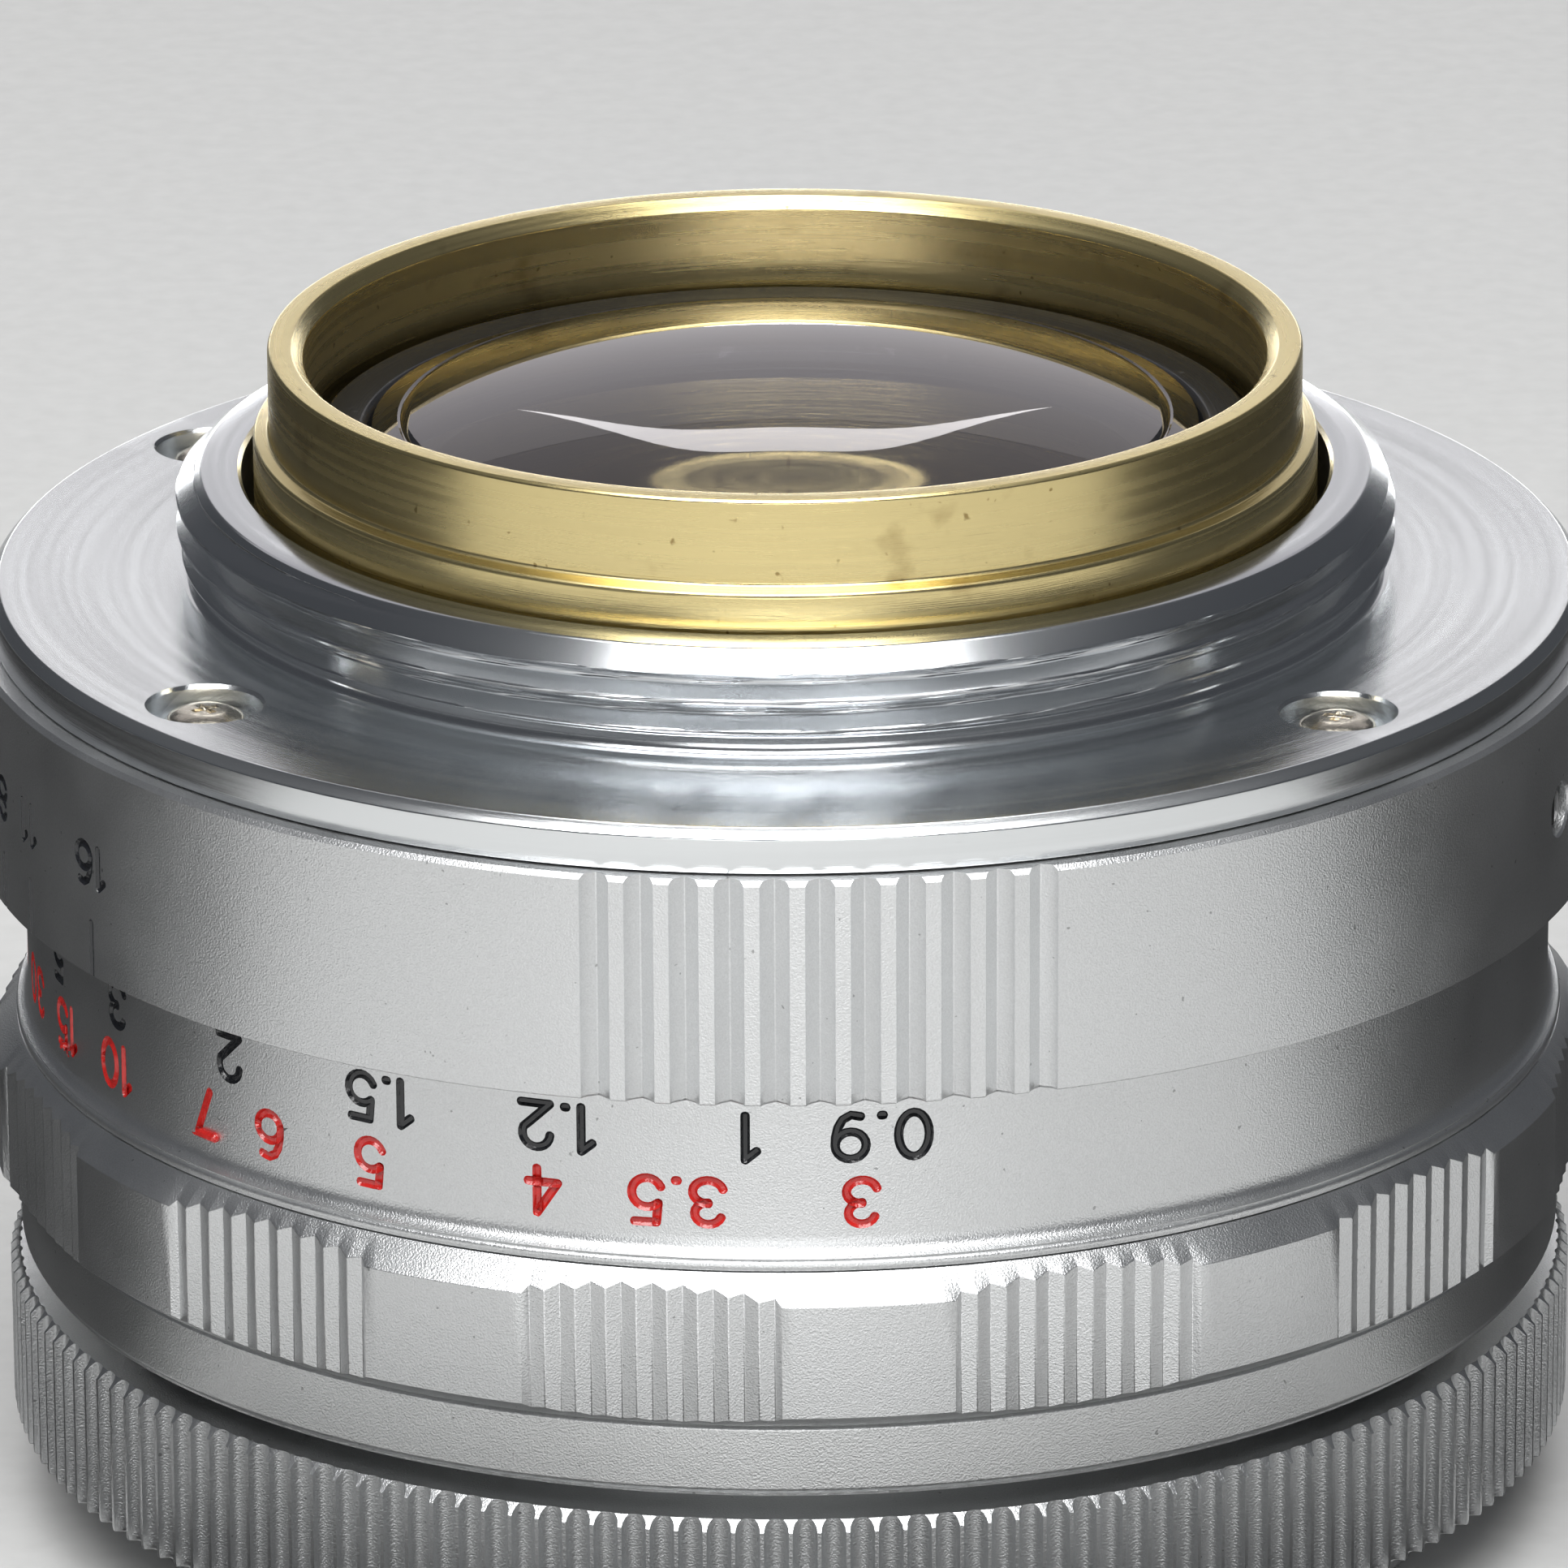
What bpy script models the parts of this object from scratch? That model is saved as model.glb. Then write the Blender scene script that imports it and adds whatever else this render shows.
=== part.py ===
"""A 39 mm screw-mount rangefinder lens that stands on its front rim, mount up.

The origin is the centre of the front rim and +Z points to the camera body.
Sizes in the tables below are millimetres; Blender works in metres.
"""

import math

import bmesh
import bpy

MM = 0.001
COLLECTION = "rangefinder_lens"
CUTTER_COLLECTION = "cutters"

# Heights along the optical axis.
FLANGE = 31.0
PLATE_THICKNESS = 1.35
CAM_TOP = FLANGE + 7.5
BOSS_TOP = FLANGE + 3.5
THREAD_PITCH = 25.4 / 26.0

# Radii.
THREAD_RADIUS = 19.5
THREAD_ROOT = 18.9
MOUNT_BORE = 17.4
PLATE_RADIUS = 25.5
DEPTH_RING_RADIUS = 26.1
SLEEVE_RADIUS = 24.6
GRIP_RADIUS = 25.8
FRONT_BARREL_RADIUS = 25.0
APERTURE_RING_RADIUS = 25.4
FILTER_RING_RADIUS = 22.0
FILTER_BORE = 19.4
HELICOID_RADIUS = 21.0
BARREL_RADIUS = 18.8
BARREL_BORE = 17.4

# Facets round a turned piece: outer rings, inner rings, glass and small screws.
OUTER_SIDES = 40
INNER_SIDES = 28
GLASS_SIDES = 24
SMALL_SIDES = 12

# Plate screws sit at uneven angles, measured from +X.
PLATE_SCREW_ANGLES = (217.0, 319.0, 147.0, 65.0)
PLATE_SCREW_CIRCLE = 22.6
GRUB_SCREW_ANGLES = (-21.0, 159.0)
GRUB_SCREW_HEIGHT = 25.8
GRUB_SCREW_CIRCLE = 24.75
GRIP_SCREW_CIRCLE = 21.4

# Focus: turn of the ring, and how far the stop notch runs past it.
FOCUS_TURN = 94.0
STOP_PIN_CIRCLE = 20.5
STOP_PIN_ANGLE = 200.0
KEY_ANGLE = 90.0

# Iris: ring turn, blade swing, pivot circle and the drive pin's lever.
BLADES = 10
BLADE_LEVELS = 5
APERTURE_TURN = 60.0
BLADE_SWING = 33.0
PIVOT_CIRCLE = 11.3
DRIVE_LEVER = 3.0
BLADE_INNER = 7.4
BLADE_OUTER = 10.6
BLADE_THICKNESS = 0.15
BLADE_STEP = 0.25
BLADE_BASE = 14.2
PIN_RADIUS = 0.3
COUPLING_ANGLE = 90.0
COUPLING_HEIGHT = 7.55
CLICK_CIRCLE = 23.2
CLICK_ANGLE = 130.0

SILVER = (0.74, 0.75, 0.76, 1.0)
BLACK = (0.02, 0.02, 0.02, 1.0)
BRASS = (0.72, 0.58, 0.28, 1.0)
STEEL = (0.60, 0.60, 0.60, 1.0)
GLASS = (0.35, 0.36, 0.40, 1.0)


def clear_scene():
    """Remove every object that the scene starts with."""
    for obj in list(bpy.data.objects):
        bpy.data.objects.remove(obj, do_unlink=True)


def make_collection(name):
    """Create a collection and link it to the scene."""
    collection = bpy.data.collections.new(name)
    bpy.context.scene.collection.children.link(collection)
    return collection


def make_material(name, colour, metallic, roughness):
    """A plain Principled BSDF material."""
    material = bpy.data.materials.new(name)
    material.use_nodes = True
    shader = material.node_tree.nodes["Principled BSDF"]
    shader.inputs["Base Color"].default_value = colour
    shader.inputs["Metallic"].default_value = metallic
    shader.inputs["Roughness"].default_value = roughness
    return material


def metal(obj, colour, roughness=0.35):
    """Give an object its own metal material."""
    obj.data.materials.append(make_material(obj.name, colour, 1.0, roughness))
    return obj


def glazed(obj):
    """Give an object its own glass material."""
    material = make_material(obj.name, GLASS, 0.0, 0.05)
    shader = material.node_tree.nodes["Principled BSDF"]
    shader.inputs["Transmission Weight"].default_value = 0.9
    obj.data.materials.append(material)
    return obj


def add_object(name, mesh, collection):
    """Link a mesh to a collection as a new object."""
    obj = bpy.data.objects.new(name, mesh)
    bpy.data.collections[collection].objects.link(obj)
    return obj


def turned(name, outline, sides, collection=COLLECTION):
    """Turn a closed outline of (radius, height) points about the Z axis."""
    mesh = bpy.data.meshes.new(name)
    points = [(radius * MM, 0.0, height * MM) for radius, height in outline]
    edges = [(i, (i + 1) % len(points)) for i in range(len(points))]
    mesh.from_pydata(points, edges, [])
    obj = add_object(name, mesh, collection)
    screw = obj.modifiers.new("Turn", "SCREW")
    screw.steps = sides
    screw.render_steps = sides
    screw.use_merge_vertices = True
    screw.merge_threshold = 0.00001
    screw.use_smooth_shade = False
    return obj


def turned_lens(name, outline, sides):
    """Turn an open outline that starts and ends on the axis."""
    mesh = bpy.data.meshes.new(name)
    points = [(radius * MM, 0.0, height * MM) for radius, height in outline]
    edges = [(i, i + 1) for i in range(len(points) - 1)]
    mesh.from_pydata(points, edges, [])
    obj = add_object(name, mesh, COLLECTION)
    screw = obj.modifiers.new("Turn", "SCREW")
    screw.steps = sides
    screw.render_steps = sides
    screw.use_merge_vertices = True
    screw.merge_threshold = 0.00001
    return obj


def polar(radius, degrees):
    """A point in the XY plane, in millimetres."""
    angle = math.radians(degrees)
    return radius * math.cos(angle), radius * math.sin(angle)


def tool_mesh(name, build):
    """A cutter: a mesh in the cutter collection that is never rendered."""
    mesh = bpy.data.meshes.new(name)
    work = bmesh.new()
    build(work)
    work.to_mesh(mesh)
    work.free()
    obj = add_object(name, mesh, CUTTER_COLLECTION)
    obj.hide_render = True
    obj.display_type = "WIRE"
    return obj


def rod_tool(name, radius, length, sides=SMALL_SIDES):
    """A cylinder about its own Z axis, centred on its origin."""
    def build(work):
        bmesh.ops.create_cone(
            work, cap_ends=True, segments=sides, radius1=radius * MM,
            radius2=radius * MM, depth=length * MM)
    return tool_mesh(name, build)


def box_tool(name, size):
    """A box centred on its origin."""
    def build(work):
        bmesh.ops.create_cube(work, size=1.0)
        bmesh.ops.scale(work, vec=[side * MM for side in size], verts=work.verts)
    return tool_mesh(name, build)


def put(obj, x, y, z, turn=0.0, tilt=0.0):
    """Place an object: tilt about its own Y axis first, then turn about Z."""
    obj.location = (x * MM, y * MM, z * MM)
    obj.rotation_euler = (0.0, math.radians(tilt), math.radians(turn))
    return obj


def put_polar(obj, radius, degrees, height, tilt=0.0):
    """Place an object at an angle round the axis, facing outwards."""
    x, y = polar(radius, degrees)
    return put(obj, x, y, height, turn=degrees, tilt=tilt)


def combine(obj, tool, operation):
    """Add an exact boolean to an object."""
    boolean = obj.modifiers.new(tool.name, "BOOLEAN")
    boolean.operation = operation
    boolean.solver = "EXACT"
    boolean.object = tool
    return obj


def cut(obj, tool):
    """Take a cutter out of an object."""
    return combine(obj, tool, "DIFFERENCE")


def flat_outline(name, loops, low, high, collection=COLLECTION):
    """A flat plate with holes: the first loop is its edge, the rest are holes."""
    curve = bpy.data.curves.new(name, "CURVE")
    curve.dimensions = "2D"
    curve.fill_mode = "BOTH"
    curve.extrude = (high - low) * MM / 2.0
    for loop in loops:
        spline = curve.splines.new("POLY")
        spline.points.add(len(loop) - 1)
        for point, (x, y) in zip(spline.points, loop):
            point.co = (x * MM, y * MM, 0.0, 1.0)
        spline.use_cyclic_u = True
    holder = bpy.data.objects.new(name + "_curve", curve)
    bpy.data.collections[CUTTER_COLLECTION].objects.link(holder)
    bpy.context.view_layer.update()
    shape = holder.evaluated_get(bpy.context.evaluated_depsgraph_get())
    mesh = bpy.data.meshes.new_from_object(shape)
    bpy.data.objects.remove(holder, do_unlink=True)
    bpy.data.curves.remove(curve)
    work = bmesh.new()
    work.from_mesh(mesh)
    bmesh.ops.remove_doubles(work, verts=work.verts, dist=0.000001)
    bmesh.ops.recalc_face_normals(work, faces=work.faces)
    work.to_mesh(mesh)
    work.free()
    obj = add_object(name, mesh, collection)
    obj.location.z = (high + low) * MM / 2.0
    if collection == CUTTER_COLLECTION:
        obj.hide_render = True
        obj.display_type = "WIRE"
    return obj


def circle(radius, sides, centre=(0.0, 0.0)):
    """Points round a circle."""
    points = []
    for i in range(sides):
        x, y = polar(radius, 360.0 * i / sides)
        points.append((centre[0] + x, centre[1] + y))
    return points


def arc_band(inner, outer, start, end, steps):
    """The outline of part of a flat ring between two angles."""
    angles = [start + (end - start) * i / steps for i in range(steps + 1)]
    points = [polar(outer, angle) for angle in angles]
    points += [polar(inner, angle) for angle in reversed(angles)]
    return points


def thread_outline():
    """The screw mount's outer side as rings, from the boss down to the plate."""
    half = THREAD_PITCH / 2.0
    points = []
    for turn in range(3):
        crest = BOSS_TOP - 0.55 - turn * THREAD_PITCH
        points.append((THREAD_RADIUS, crest + 0.08))
        points.append((THREAD_RADIUS, crest - 0.08))
        points.append((THREAD_ROOT, crest - half))
    return points


def mount_flange():
    """The turned screw mount: threaded boss and plate, with sunk screw seats."""
    outline = [(MOUNT_BORE, BOSS_TOP), (18.7, BOSS_TOP)]
    outline += thread_outline()
    outline += [
        (18.95, FLANGE + 0.4), (19.15, FLANGE + 0.15), (19.6, FLANGE),
        (PLATE_RADIUS - 0.35, FLANGE), (PLATE_RADIUS, FLANGE - 0.3),
        (PLATE_RADIUS, FLANGE - PLATE_THICKNESS),
        (MOUNT_BORE, FLANGE - PLATE_THICKNESS)]
    obj = turned("mount_flange", outline, OUTER_SIDES)
    for number, angle in enumerate(PLATE_SCREW_ANGLES, 1):
        seat = rod_tool(f"flange_seat_{number}", 1.75, 2.0)
        put_polar(seat, PLATE_SCREW_CIRCLE, angle, FLANGE - 0.9 + 1.0)
        cut(obj, seat)
        hole = rod_tool(f"flange_hole_{number}", 0.85, 4.0, 8)
        put_polar(hole, PLATE_SCREW_CIRCLE, angle, FLANGE - 1.0)
        cut(obj, hole)
    return metal(obj, SILVER, 0.18)


def flange_screws():
    """Four slotted screws that hold the mount to the fixed barrel."""
    for number, angle in enumerate(PLATE_SCREW_ANGLES, 1):
        top = -0.15
        outline = [
            (0.0, top), (0.95, top), (1.2, top - 0.2), (1.2, top - 0.6),
            (0.6, top - 0.6), (0.6, -4.2), (0.0, -4.2)]
        obj = turned_lens(f"flange_screw_{number}", outline, SMALL_SIDES)
        put_polar(obj, PLATE_SCREW_CIRCLE, angle, FLANGE)
        slot = box_tool(f"flange_screw_slot_{number}", (0.36, 3.0, 0.6))
        put_polar(slot, PLATE_SCREW_CIRCLE, angle, FLANGE + top)
        slot.rotation_euler.z += math.radians(35.0 * number)
        cut(obj, slot)
        metal(obj, STEEL, 0.3)


def fixed_barrel():
    """The fixed outer helicoid that the mount and the depth ring are fixed to."""
    top = FLANGE - PLATE_THICKNESS - 0.1
    outline = [
        (24.9, top), (24.9, 24.9), (22.6, 24.9), (22.6, 17.0), (21.2, 17.0),
        (21.2, 27.6), (17.6, 27.6), (17.6, top)]
    obj = turned("fixed_barrel", outline, OUTER_SIDES)
    for number, angle in enumerate(PLATE_SCREW_ANGLES, 1):
        hole = rod_tool(f"fixed_barrel_hole_{number}", 0.85, 8.0, 8)
        put_polar(hole, PLATE_SCREW_CIRCLE, angle, 26.3 + 4.0)
        cut(obj, hole)
    for number, angle in enumerate(GRUB_SCREW_ANGLES, 1):
        hole = rod_tool(f"fixed_barrel_dimple_{number}", 0.85, 3.0, 8)
        put_polar(hole, 23.4 + 1.5, angle, GRUB_SCREW_HEIGHT, tilt=90.0)
        cut(obj, hole)
    return metal(obj, SILVER)


def depth_scale_ring():
    """The fixed depth-of-field ring round the top of the focus sleeve."""
    top = FLANGE - PLATE_THICKNESS - 0.1
    low = FLANGE - 8.7
    outline = [
        (DEPTH_RING_RADIUS - 0.15, top), (DEPTH_RING_RADIUS, top - 0.15),
        (DEPTH_RING_RADIUS, low + 0.1), (DEPTH_RING_RADIUS - 0.1, low),
        (25.0, low), (25.0, top)]
    obj = turned("depth_scale_ring", outline, OUTER_SIDES)
    for number, angle in enumerate(GRUB_SCREW_ANGLES, 1):
        hole = rod_tool(f"grub_hole_{number}", 0.85, 4.0, 8)
        put_polar(hole, DEPTH_RING_RADIUS, angle, GRUB_SCREW_HEIGHT, tilt=90.0)
        cut(obj, hole)
    return metal(obj, SILVER)


def grub_screws():
    """Headless slotted screws that lock the depth ring to the fixed barrel."""
    for number, angle in enumerate(GRUB_SCREW_ANGLES, 1):
        outline = [(0.0, 1.1), (0.7, 1.1), (0.7, -1.1), (0.0, -1.1)]
        obj = turned_lens(f"scale_ring_grub_screw_{number}", outline, 8)
        put_polar(obj, GRUB_SCREW_CIRCLE, angle, GRUB_SCREW_HEIGHT, tilt=90.0)
        slot = box_tool(f"grub_slot_{number}", (0.26, 3.0, 0.6))
        put_polar(
            slot, GRUB_SCREW_CIRCLE + 1.1, angle, GRUB_SCREW_HEIGHT, tilt=90.0)
        cut(obj, slot)
        metal(obj, STEEL)


def guide_keys():
    """Keys fixed under the mount that stop the cam and the barrel turning."""
    pieces = (
        ("cam_guide_key", (1.4, 1.6, 1.5), 16.6, KEY_ANGLE, 28.55),
        ("barrel_guide_key", (0.9, 2.0, 7.8), 18.2, KEY_ANGLE + 180.0, 23.4))
    for name, size, radius, angle, height in pieces:
        mesh = bpy.data.meshes.new(name)
        work = bmesh.new()
        bmesh.ops.create_cube(work, size=1.0)
        bmesh.ops.scale(work, vec=[side * MM for side in size], verts=work.verts)
        work.to_mesh(mesh)
        work.free()
        obj = add_object(name, mesh, COLLECTION)
        put_polar(obj, radius, angle, height)
        metal(obj, STEEL)


def focus_stop_pin():
    """The pin that ends the focus ring's turn in the helicoid's notch."""
    outline = [(0.0, 27.5), (0.4, 27.5), (0.4, 24.6), (0.0, 24.6)]
    obj = turned_lens("focus_stop_pin", outline, SMALL_SIDES)
    put_polar(obj, STOP_PIN_CIRCLE, STOP_PIN_ANGLE, 0.0)
    return metal(obj, STEEL)


def rangefinder_cam():
    """The brass coupling cam, a tube with a wider foot and a key slot."""
    outline = [
        (15.8, CAM_TOP), (16.45, CAM_TOP), (16.5, CAM_TOP - 0.1),
        (16.5, FLANGE + 4.7), (17.0, FLANGE + 4.6), (17.0, 27.2),
        (15.35, 27.2), (15.35, CAM_TOP - 0.4)]
    obj = turned("rangefinder_cam", outline, OUTER_SIDES)
    slot = box_tool("cam_slot", (3.0, 2.0, 9.0))
    put_polar(slot, 16.6, KEY_ANGLE, 32.8 - 4.5)
    cut(obj, slot)
    return metal(obj, BRASS, 0.25)


def distance_scale_sleeve():
    """The engraved sleeve that turns inside the depth-of-field ring."""
    outline = [
        (SLEEVE_RADIUS, 24.4), (SLEEVE_RADIUS, 17.3), (24.75, 16.95),
        (25.0, 16.8), (25.0, 16.55), (23.6, 16.55), (23.6, 24.4)]
    obj = turned("distance_scale_sleeve", outline, OUTER_SIDES)
    return metal(obj, SILVER)


def focus_grip_ring():
    """The focus grip: bright shoulder above a straight band."""
    outline = [
        (25.0, 16.45), (GRIP_RADIUS, 15.6), (GRIP_RADIUS, 12.0),
        (GRIP_RADIUS - 0.2, 11.8), (19.2, 11.8), (19.2, 15.1), (23.7, 15.1),
        (23.7, 16.45)]
    obj = turned("focus_grip_ring", outline, OUTER_SIDES)
    for number in range(3):
        angle = 30.0 + 120.0 * number
        seat = rod_tool(f"grip_seat_{number + 1}", 1.3, 2.8)
        put_polar(seat, GRIP_SCREW_CIRCLE, angle, 11.8)
        cut(obj, seat)
        hole = rod_tool(f"grip_hole_{number + 1}", 0.75, 5.0, 8)
        put_polar(hole, GRIP_SCREW_CIRCLE, angle, 14.0)
        cut(obj, hole)
    return metal(obj, SILVER)


def focus_helicoid():
    """The turning helicoid with a flange for the grip and a notch for the stop."""
    outline = [
        (HELICOID_RADIUS, 27.0), (HELICOID_RADIUS, 16.4), (23.4, 16.4),
        (23.4, 15.4), (19.0, 15.4), (19.0, 22.4), (20.0, 22.4), (20.0, 27.0)]
    obj = turned("focus_helicoid", outline, INNER_SIDES)
    margin = 3.0
    band = arc_band(
        19.0, 22.0, STOP_PIN_ANGLE - margin, STOP_PIN_ANGLE + FOCUS_TURN + margin, 12)
    notch = flat_outline("stop_notch", [band], 24.2, 28.0, CUTTER_COLLECTION)
    cut(obj, notch)
    for number in range(3):
        angle = 30.0 + 120.0 * number
        hole = rod_tool(f"helicoid_hole_{number + 1}", 0.75, 2.0, 8)
        put_polar(hole, GRIP_SCREW_CIRCLE, angle, 15.1)
        cut(obj, hole)
    return metal(obj, BRASS)


def grip_screws():
    """Three screws that join the grip to the helicoid from the front."""
    for number in range(3):
        angle = 30.0 + 120.0 * number
        outline = [
            (0.0, 15.9), (0.5, 15.9), (0.5, 12.9), (1.0, 12.9), (1.0, 12.1),
            (0.0, 12.1)]
        obj = turned_lens(f"grip_screw_{number + 1}", outline, 8)
        put_polar(obj, GRIP_SCREW_CIRCLE, angle, 0.0)
        metal(obj, STEEL)


def main_barrel():
    """The inner barrel that slides without turning and carries the optics."""
    outline = [
        (BARREL_RADIUS, 22.4), (BARREL_RADIUS, 9.3), (BARREL_BORE, 9.3),
        (BARREL_BORE, 22.4)]
    obj = turned("main_barrel", outline, INNER_SIDES)
    slot = box_tool("barrel_slot", (3.0, 2.5, 8.0))
    put_polar(slot, 18.2, KEY_ANGLE + 180.0, 18.9 + 4.0)
    cut(obj, slot)
    return metal(obj, STEEL)


def helicoid_retaining_ring():
    """The ring on the inner barrel that keeps the helicoid on it."""
    outline = [(19.7, 23.5), (19.7, 22.7), (17.6, 22.7), (17.6, 23.5)]
    obj = turned("helicoid_retaining_ring", outline, INNER_SIDES)
    slot = box_tool("retainer_slot", (2.6, 2.6, 3.0))
    put_polar(slot, 17.6, KEY_ANGLE + 180.0, 23.1)
    cut(obj, slot)
    return metal(obj, STEEL)


def front_barrel():
    """The plain band below the grip and the tube that the aperture ring rides on."""
    outline = [
        (FRONT_BARREL_RADIUS - 0.1, 11.5), (FRONT_BARREL_RADIUS, 11.4),
        (FRONT_BARREL_RADIUS, 9.1), (FRONT_BARREL_RADIUS - 0.1, 9.0),
        (21.3, 9.0), (21.3, 2.8), (20.5, 2.8), (20.5, 9.0), (19.1, 9.0),
        (19.1, 11.5)]
    obj = turned("front_barrel", outline, OUTER_SIDES)
    band = arc_band(
        19.9, 22.0, COUPLING_ANGLE - APERTURE_TURN - 3.5, COUPLING_ANGLE + 3.5, 8)
    slot = flat_outline(
        "coupling_slot", [band], COUPLING_HEIGHT - 0.8, COUPLING_HEIGHT + 0.8,
        CUTTER_COLLECTION)
    cut(obj, slot)
    well = rod_tool("click_well", 0.8, 3.4)
    put_polar(well, CLICK_CIRCLE, CLICK_ANGLE, 9.2)
    cut(obj, well)
    return metal(obj, SILVER)


def aperture_ring():
    """The aperture ring, bored for the screw that drives the iris."""
    outline = [
        (APERTURE_RING_RADIUS - 0.3, 8.3), (APERTURE_RING_RADIUS, 8.0),
        (APERTURE_RING_RADIUS, 3.2), (APERTURE_RING_RADIUS - 0.2, 3.0),
        (21.6, 3.0), (21.6, 8.3)]
    obj = turned("aperture_ring", outline, OUTER_SIDES)
    hole = rod_tool("coupling_hole", 0.6, 8.0, 8)
    put_polar(hole, 23.5, COUPLING_ANGLE, COUPLING_HEIGHT, tilt=90.0)
    cut(obj, hole)
    return metal(obj, SILVER)


def coupling_screw():
    """The radial screw between the aperture ring and the coupling arm."""
    outline = [(0.0, 3.1), (0.45, 3.1), (0.45, -3.1), (0.0, -3.1)]
    obj = turned_lens("iris_coupling_screw", outline, 8)
    put_polar(obj, 21.9, COUPLING_ANGLE, COUPLING_HEIGHT, tilt=90.0)
    return metal(obj, STEEL)


def coupling_arm():
    """The bent arm that carries the aperture ring's turn to the iris."""
    foot_low = COUPLING_HEIGHT - 0.7
    foot_high = COUPLING_HEIGHT + 0.7
    obj = flat_outline(
        "iris_coupling_arm",
        [[(14.9, foot_low), (20.1, foot_low), (20.1, foot_high),
          (16.1, foot_high), (16.1, 14.0), (14.9, 14.0)]], -1.5, 1.5)
    obj.location = (0.0, 0.0, 0.0)
    obj.rotation_euler = (math.radians(90.0), 0.0, math.radians(COUPLING_ANGLE))
    hole = rod_tool("arm_hole", 0.6, 4.0, 8)
    put_polar(hole, 20.5, COUPLING_ANGLE, COUPLING_HEIGHT, tilt=90.0)
    cut(obj, hole)
    return metal(obj, STEEL)


def drive_pin_path(turn):
    """Where a drive pin is in the drive ring when the ring has turned."""
    swing = math.radians(BLADE_SWING * turn / APERTURE_TURN)
    x = PIVOT_CIRCLE + DRIVE_LEVER * math.sin(swing)
    y = DRIVE_LEVER * math.cos(swing)
    return math.hypot(x, y), math.degrees(math.atan2(y, x)) + turn


def drive_slot(angle):
    """The outline of one cam slot that follows the drive pin's path."""
    half_width = PIN_RADIUS - 0.02 + 0.08
    steps = 6
    margin = 1.6
    outer = []
    inner = []
    for i in range(steps + 1):
        turn = -margin + (APERTURE_TURN + 2.0 * margin) * i / steps
        radius, bearing = drive_pin_path(turn)
        outer.append(polar(radius + half_width, bearing + angle))
        inner.append(polar(radius - half_width, bearing + angle))
    return outer + inner[::-1]


def iris_drive_ring():
    """The flat ring whose ten cam slots swing the blades."""
    half = 6.0
    edge = [polar(17.1, COUPLING_ANGLE + half + (360.0 - 2.0 * half) * i / 32)
            for i in range(33)]
    left = (-1.75, 14.6)
    right = (1.75, 14.6)
    loops = [edge + [right, left]]
    loops.append(circle(10.4, INNER_SIDES))
    loops += [drive_slot(360.0 * i / BLADES) for i in range(BLADES)]
    obj = flat_outline("iris_drive_ring", loops, 13.2, 13.8)
    return metal(obj, STEEL)


def iris_base_plate():
    """The fixed plate that the blades pivot in, with the full opening."""
    loops = [circle(17.1, INNER_SIDES), circle(7.0, INNER_SIDES)]
    for i in range(BLADES):
        loops.append(circle(0.45, 8, polar(PIVOT_CIRCLE, 360.0 * i / BLADES)))
    obj = flat_outline("iris_base_plate", loops, 15.7, 16.5)
    return metal(obj, BLACK, 0.6)


def blade_outline():
    """One blade's outline about its pivot: crescent, round tip and drive ear."""
    points = [polar(BLADE_INNER, 100.0 - 100.0 * i / 9) for i in range(10)]
    points += [polar(8.2, -10.0), polar(10.9, -18.0), polar(12.1, -18.5)]
    points += [polar(12.6, -13.0), polar(12.4, 2.0), polar(11.6, 6.5)]
    points += [polar(BLADE_OUTER, 11.0 + 89.0 * i / 8) for i in range(9)]
    points += [polar(9.9, 104.0), polar(8.1, 104.0)]
    return [(x - PIVOT_CIRCLE, -y) for x, y in points]


def iris_blade(number):
    """One blade with its pivot pin behind it and its drive pin in front."""
    low = BLADE_BASE + BLADE_STEP * (number % BLADE_LEVELS)
    angle = 360.0 * number / BLADES
    name = f"iris_blade_{number + 1}"
    obj = flat_outline(name, [blade_outline()], -BLADE_THICKNESS / 2, BLADE_THICKNESS / 2)
    middle = low + BLADE_THICKNESS / 2
    put_polar(obj, PIVOT_CIRCLE, angle, middle)
    ends = (("pivot", 0.0, 16.3), ("drive", DRIVE_LEVER, 13.0))
    for end, side, height in ends:
        pin = rod_tool(f"{name}_{end}", PIN_RADIUS, abs(height - middle), 8)
        x, y = polar(PIVOT_CIRCLE, angle)
        x -= side * math.sin(math.radians(angle))
        y += side * math.cos(math.radians(angle))
        put(pin, x, y, (height + middle) / 2, turn=angle)
        combine(obj, pin, "UNION")
    return metal(obj, BLACK, 0.5)


def sag(radius, curvature):
    """Depth of a spherical surface at a radius, signed like its curvature."""
    depth = abs(curvature) - math.sqrt(curvature ** 2 - radius ** 2)
    return math.copysign(depth, curvature)


def glass_element(name, radius, rear, rear_curve, front, front_curve):
    """A lens element from its rear and front vertex heights and curvatures."""
    rings = 3
    outline = []
    for i in range(rings + 1):
        at = radius * i / rings
        outline.append((at, rear + sag(at, rear_curve)))
    for i in range(rings, -1, -1):
        at = radius * i / rings
        outline.append((at, front + sag(at, front_curve)))
    return glazed(turned_lens(name, outline, GLASS_SIDES))


def glass():
    """Six elements in four groups, three in front of the iris and three behind."""
    glass_element("glass_1_front", 11.0, 7.6, 90.0, 4.75, 36.0)
    glass_element("glass_2", 9.6, 10.6, 200.0, 8.2, 24.0)
    glass_element("glass_3", 9.6, 11.2, 34.0, 10.65, 200.0)
    glass_element("glass_4", 9.6, 19.3, -200.0, 18.6, -34.0)
    glass_element("glass_5", 9.6, 22.6, -24.0, 19.35, -200.0)
    glass_element("glass_6_rear", 13.2, 37.75, -45.0, 33.0, 80.0)


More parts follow.
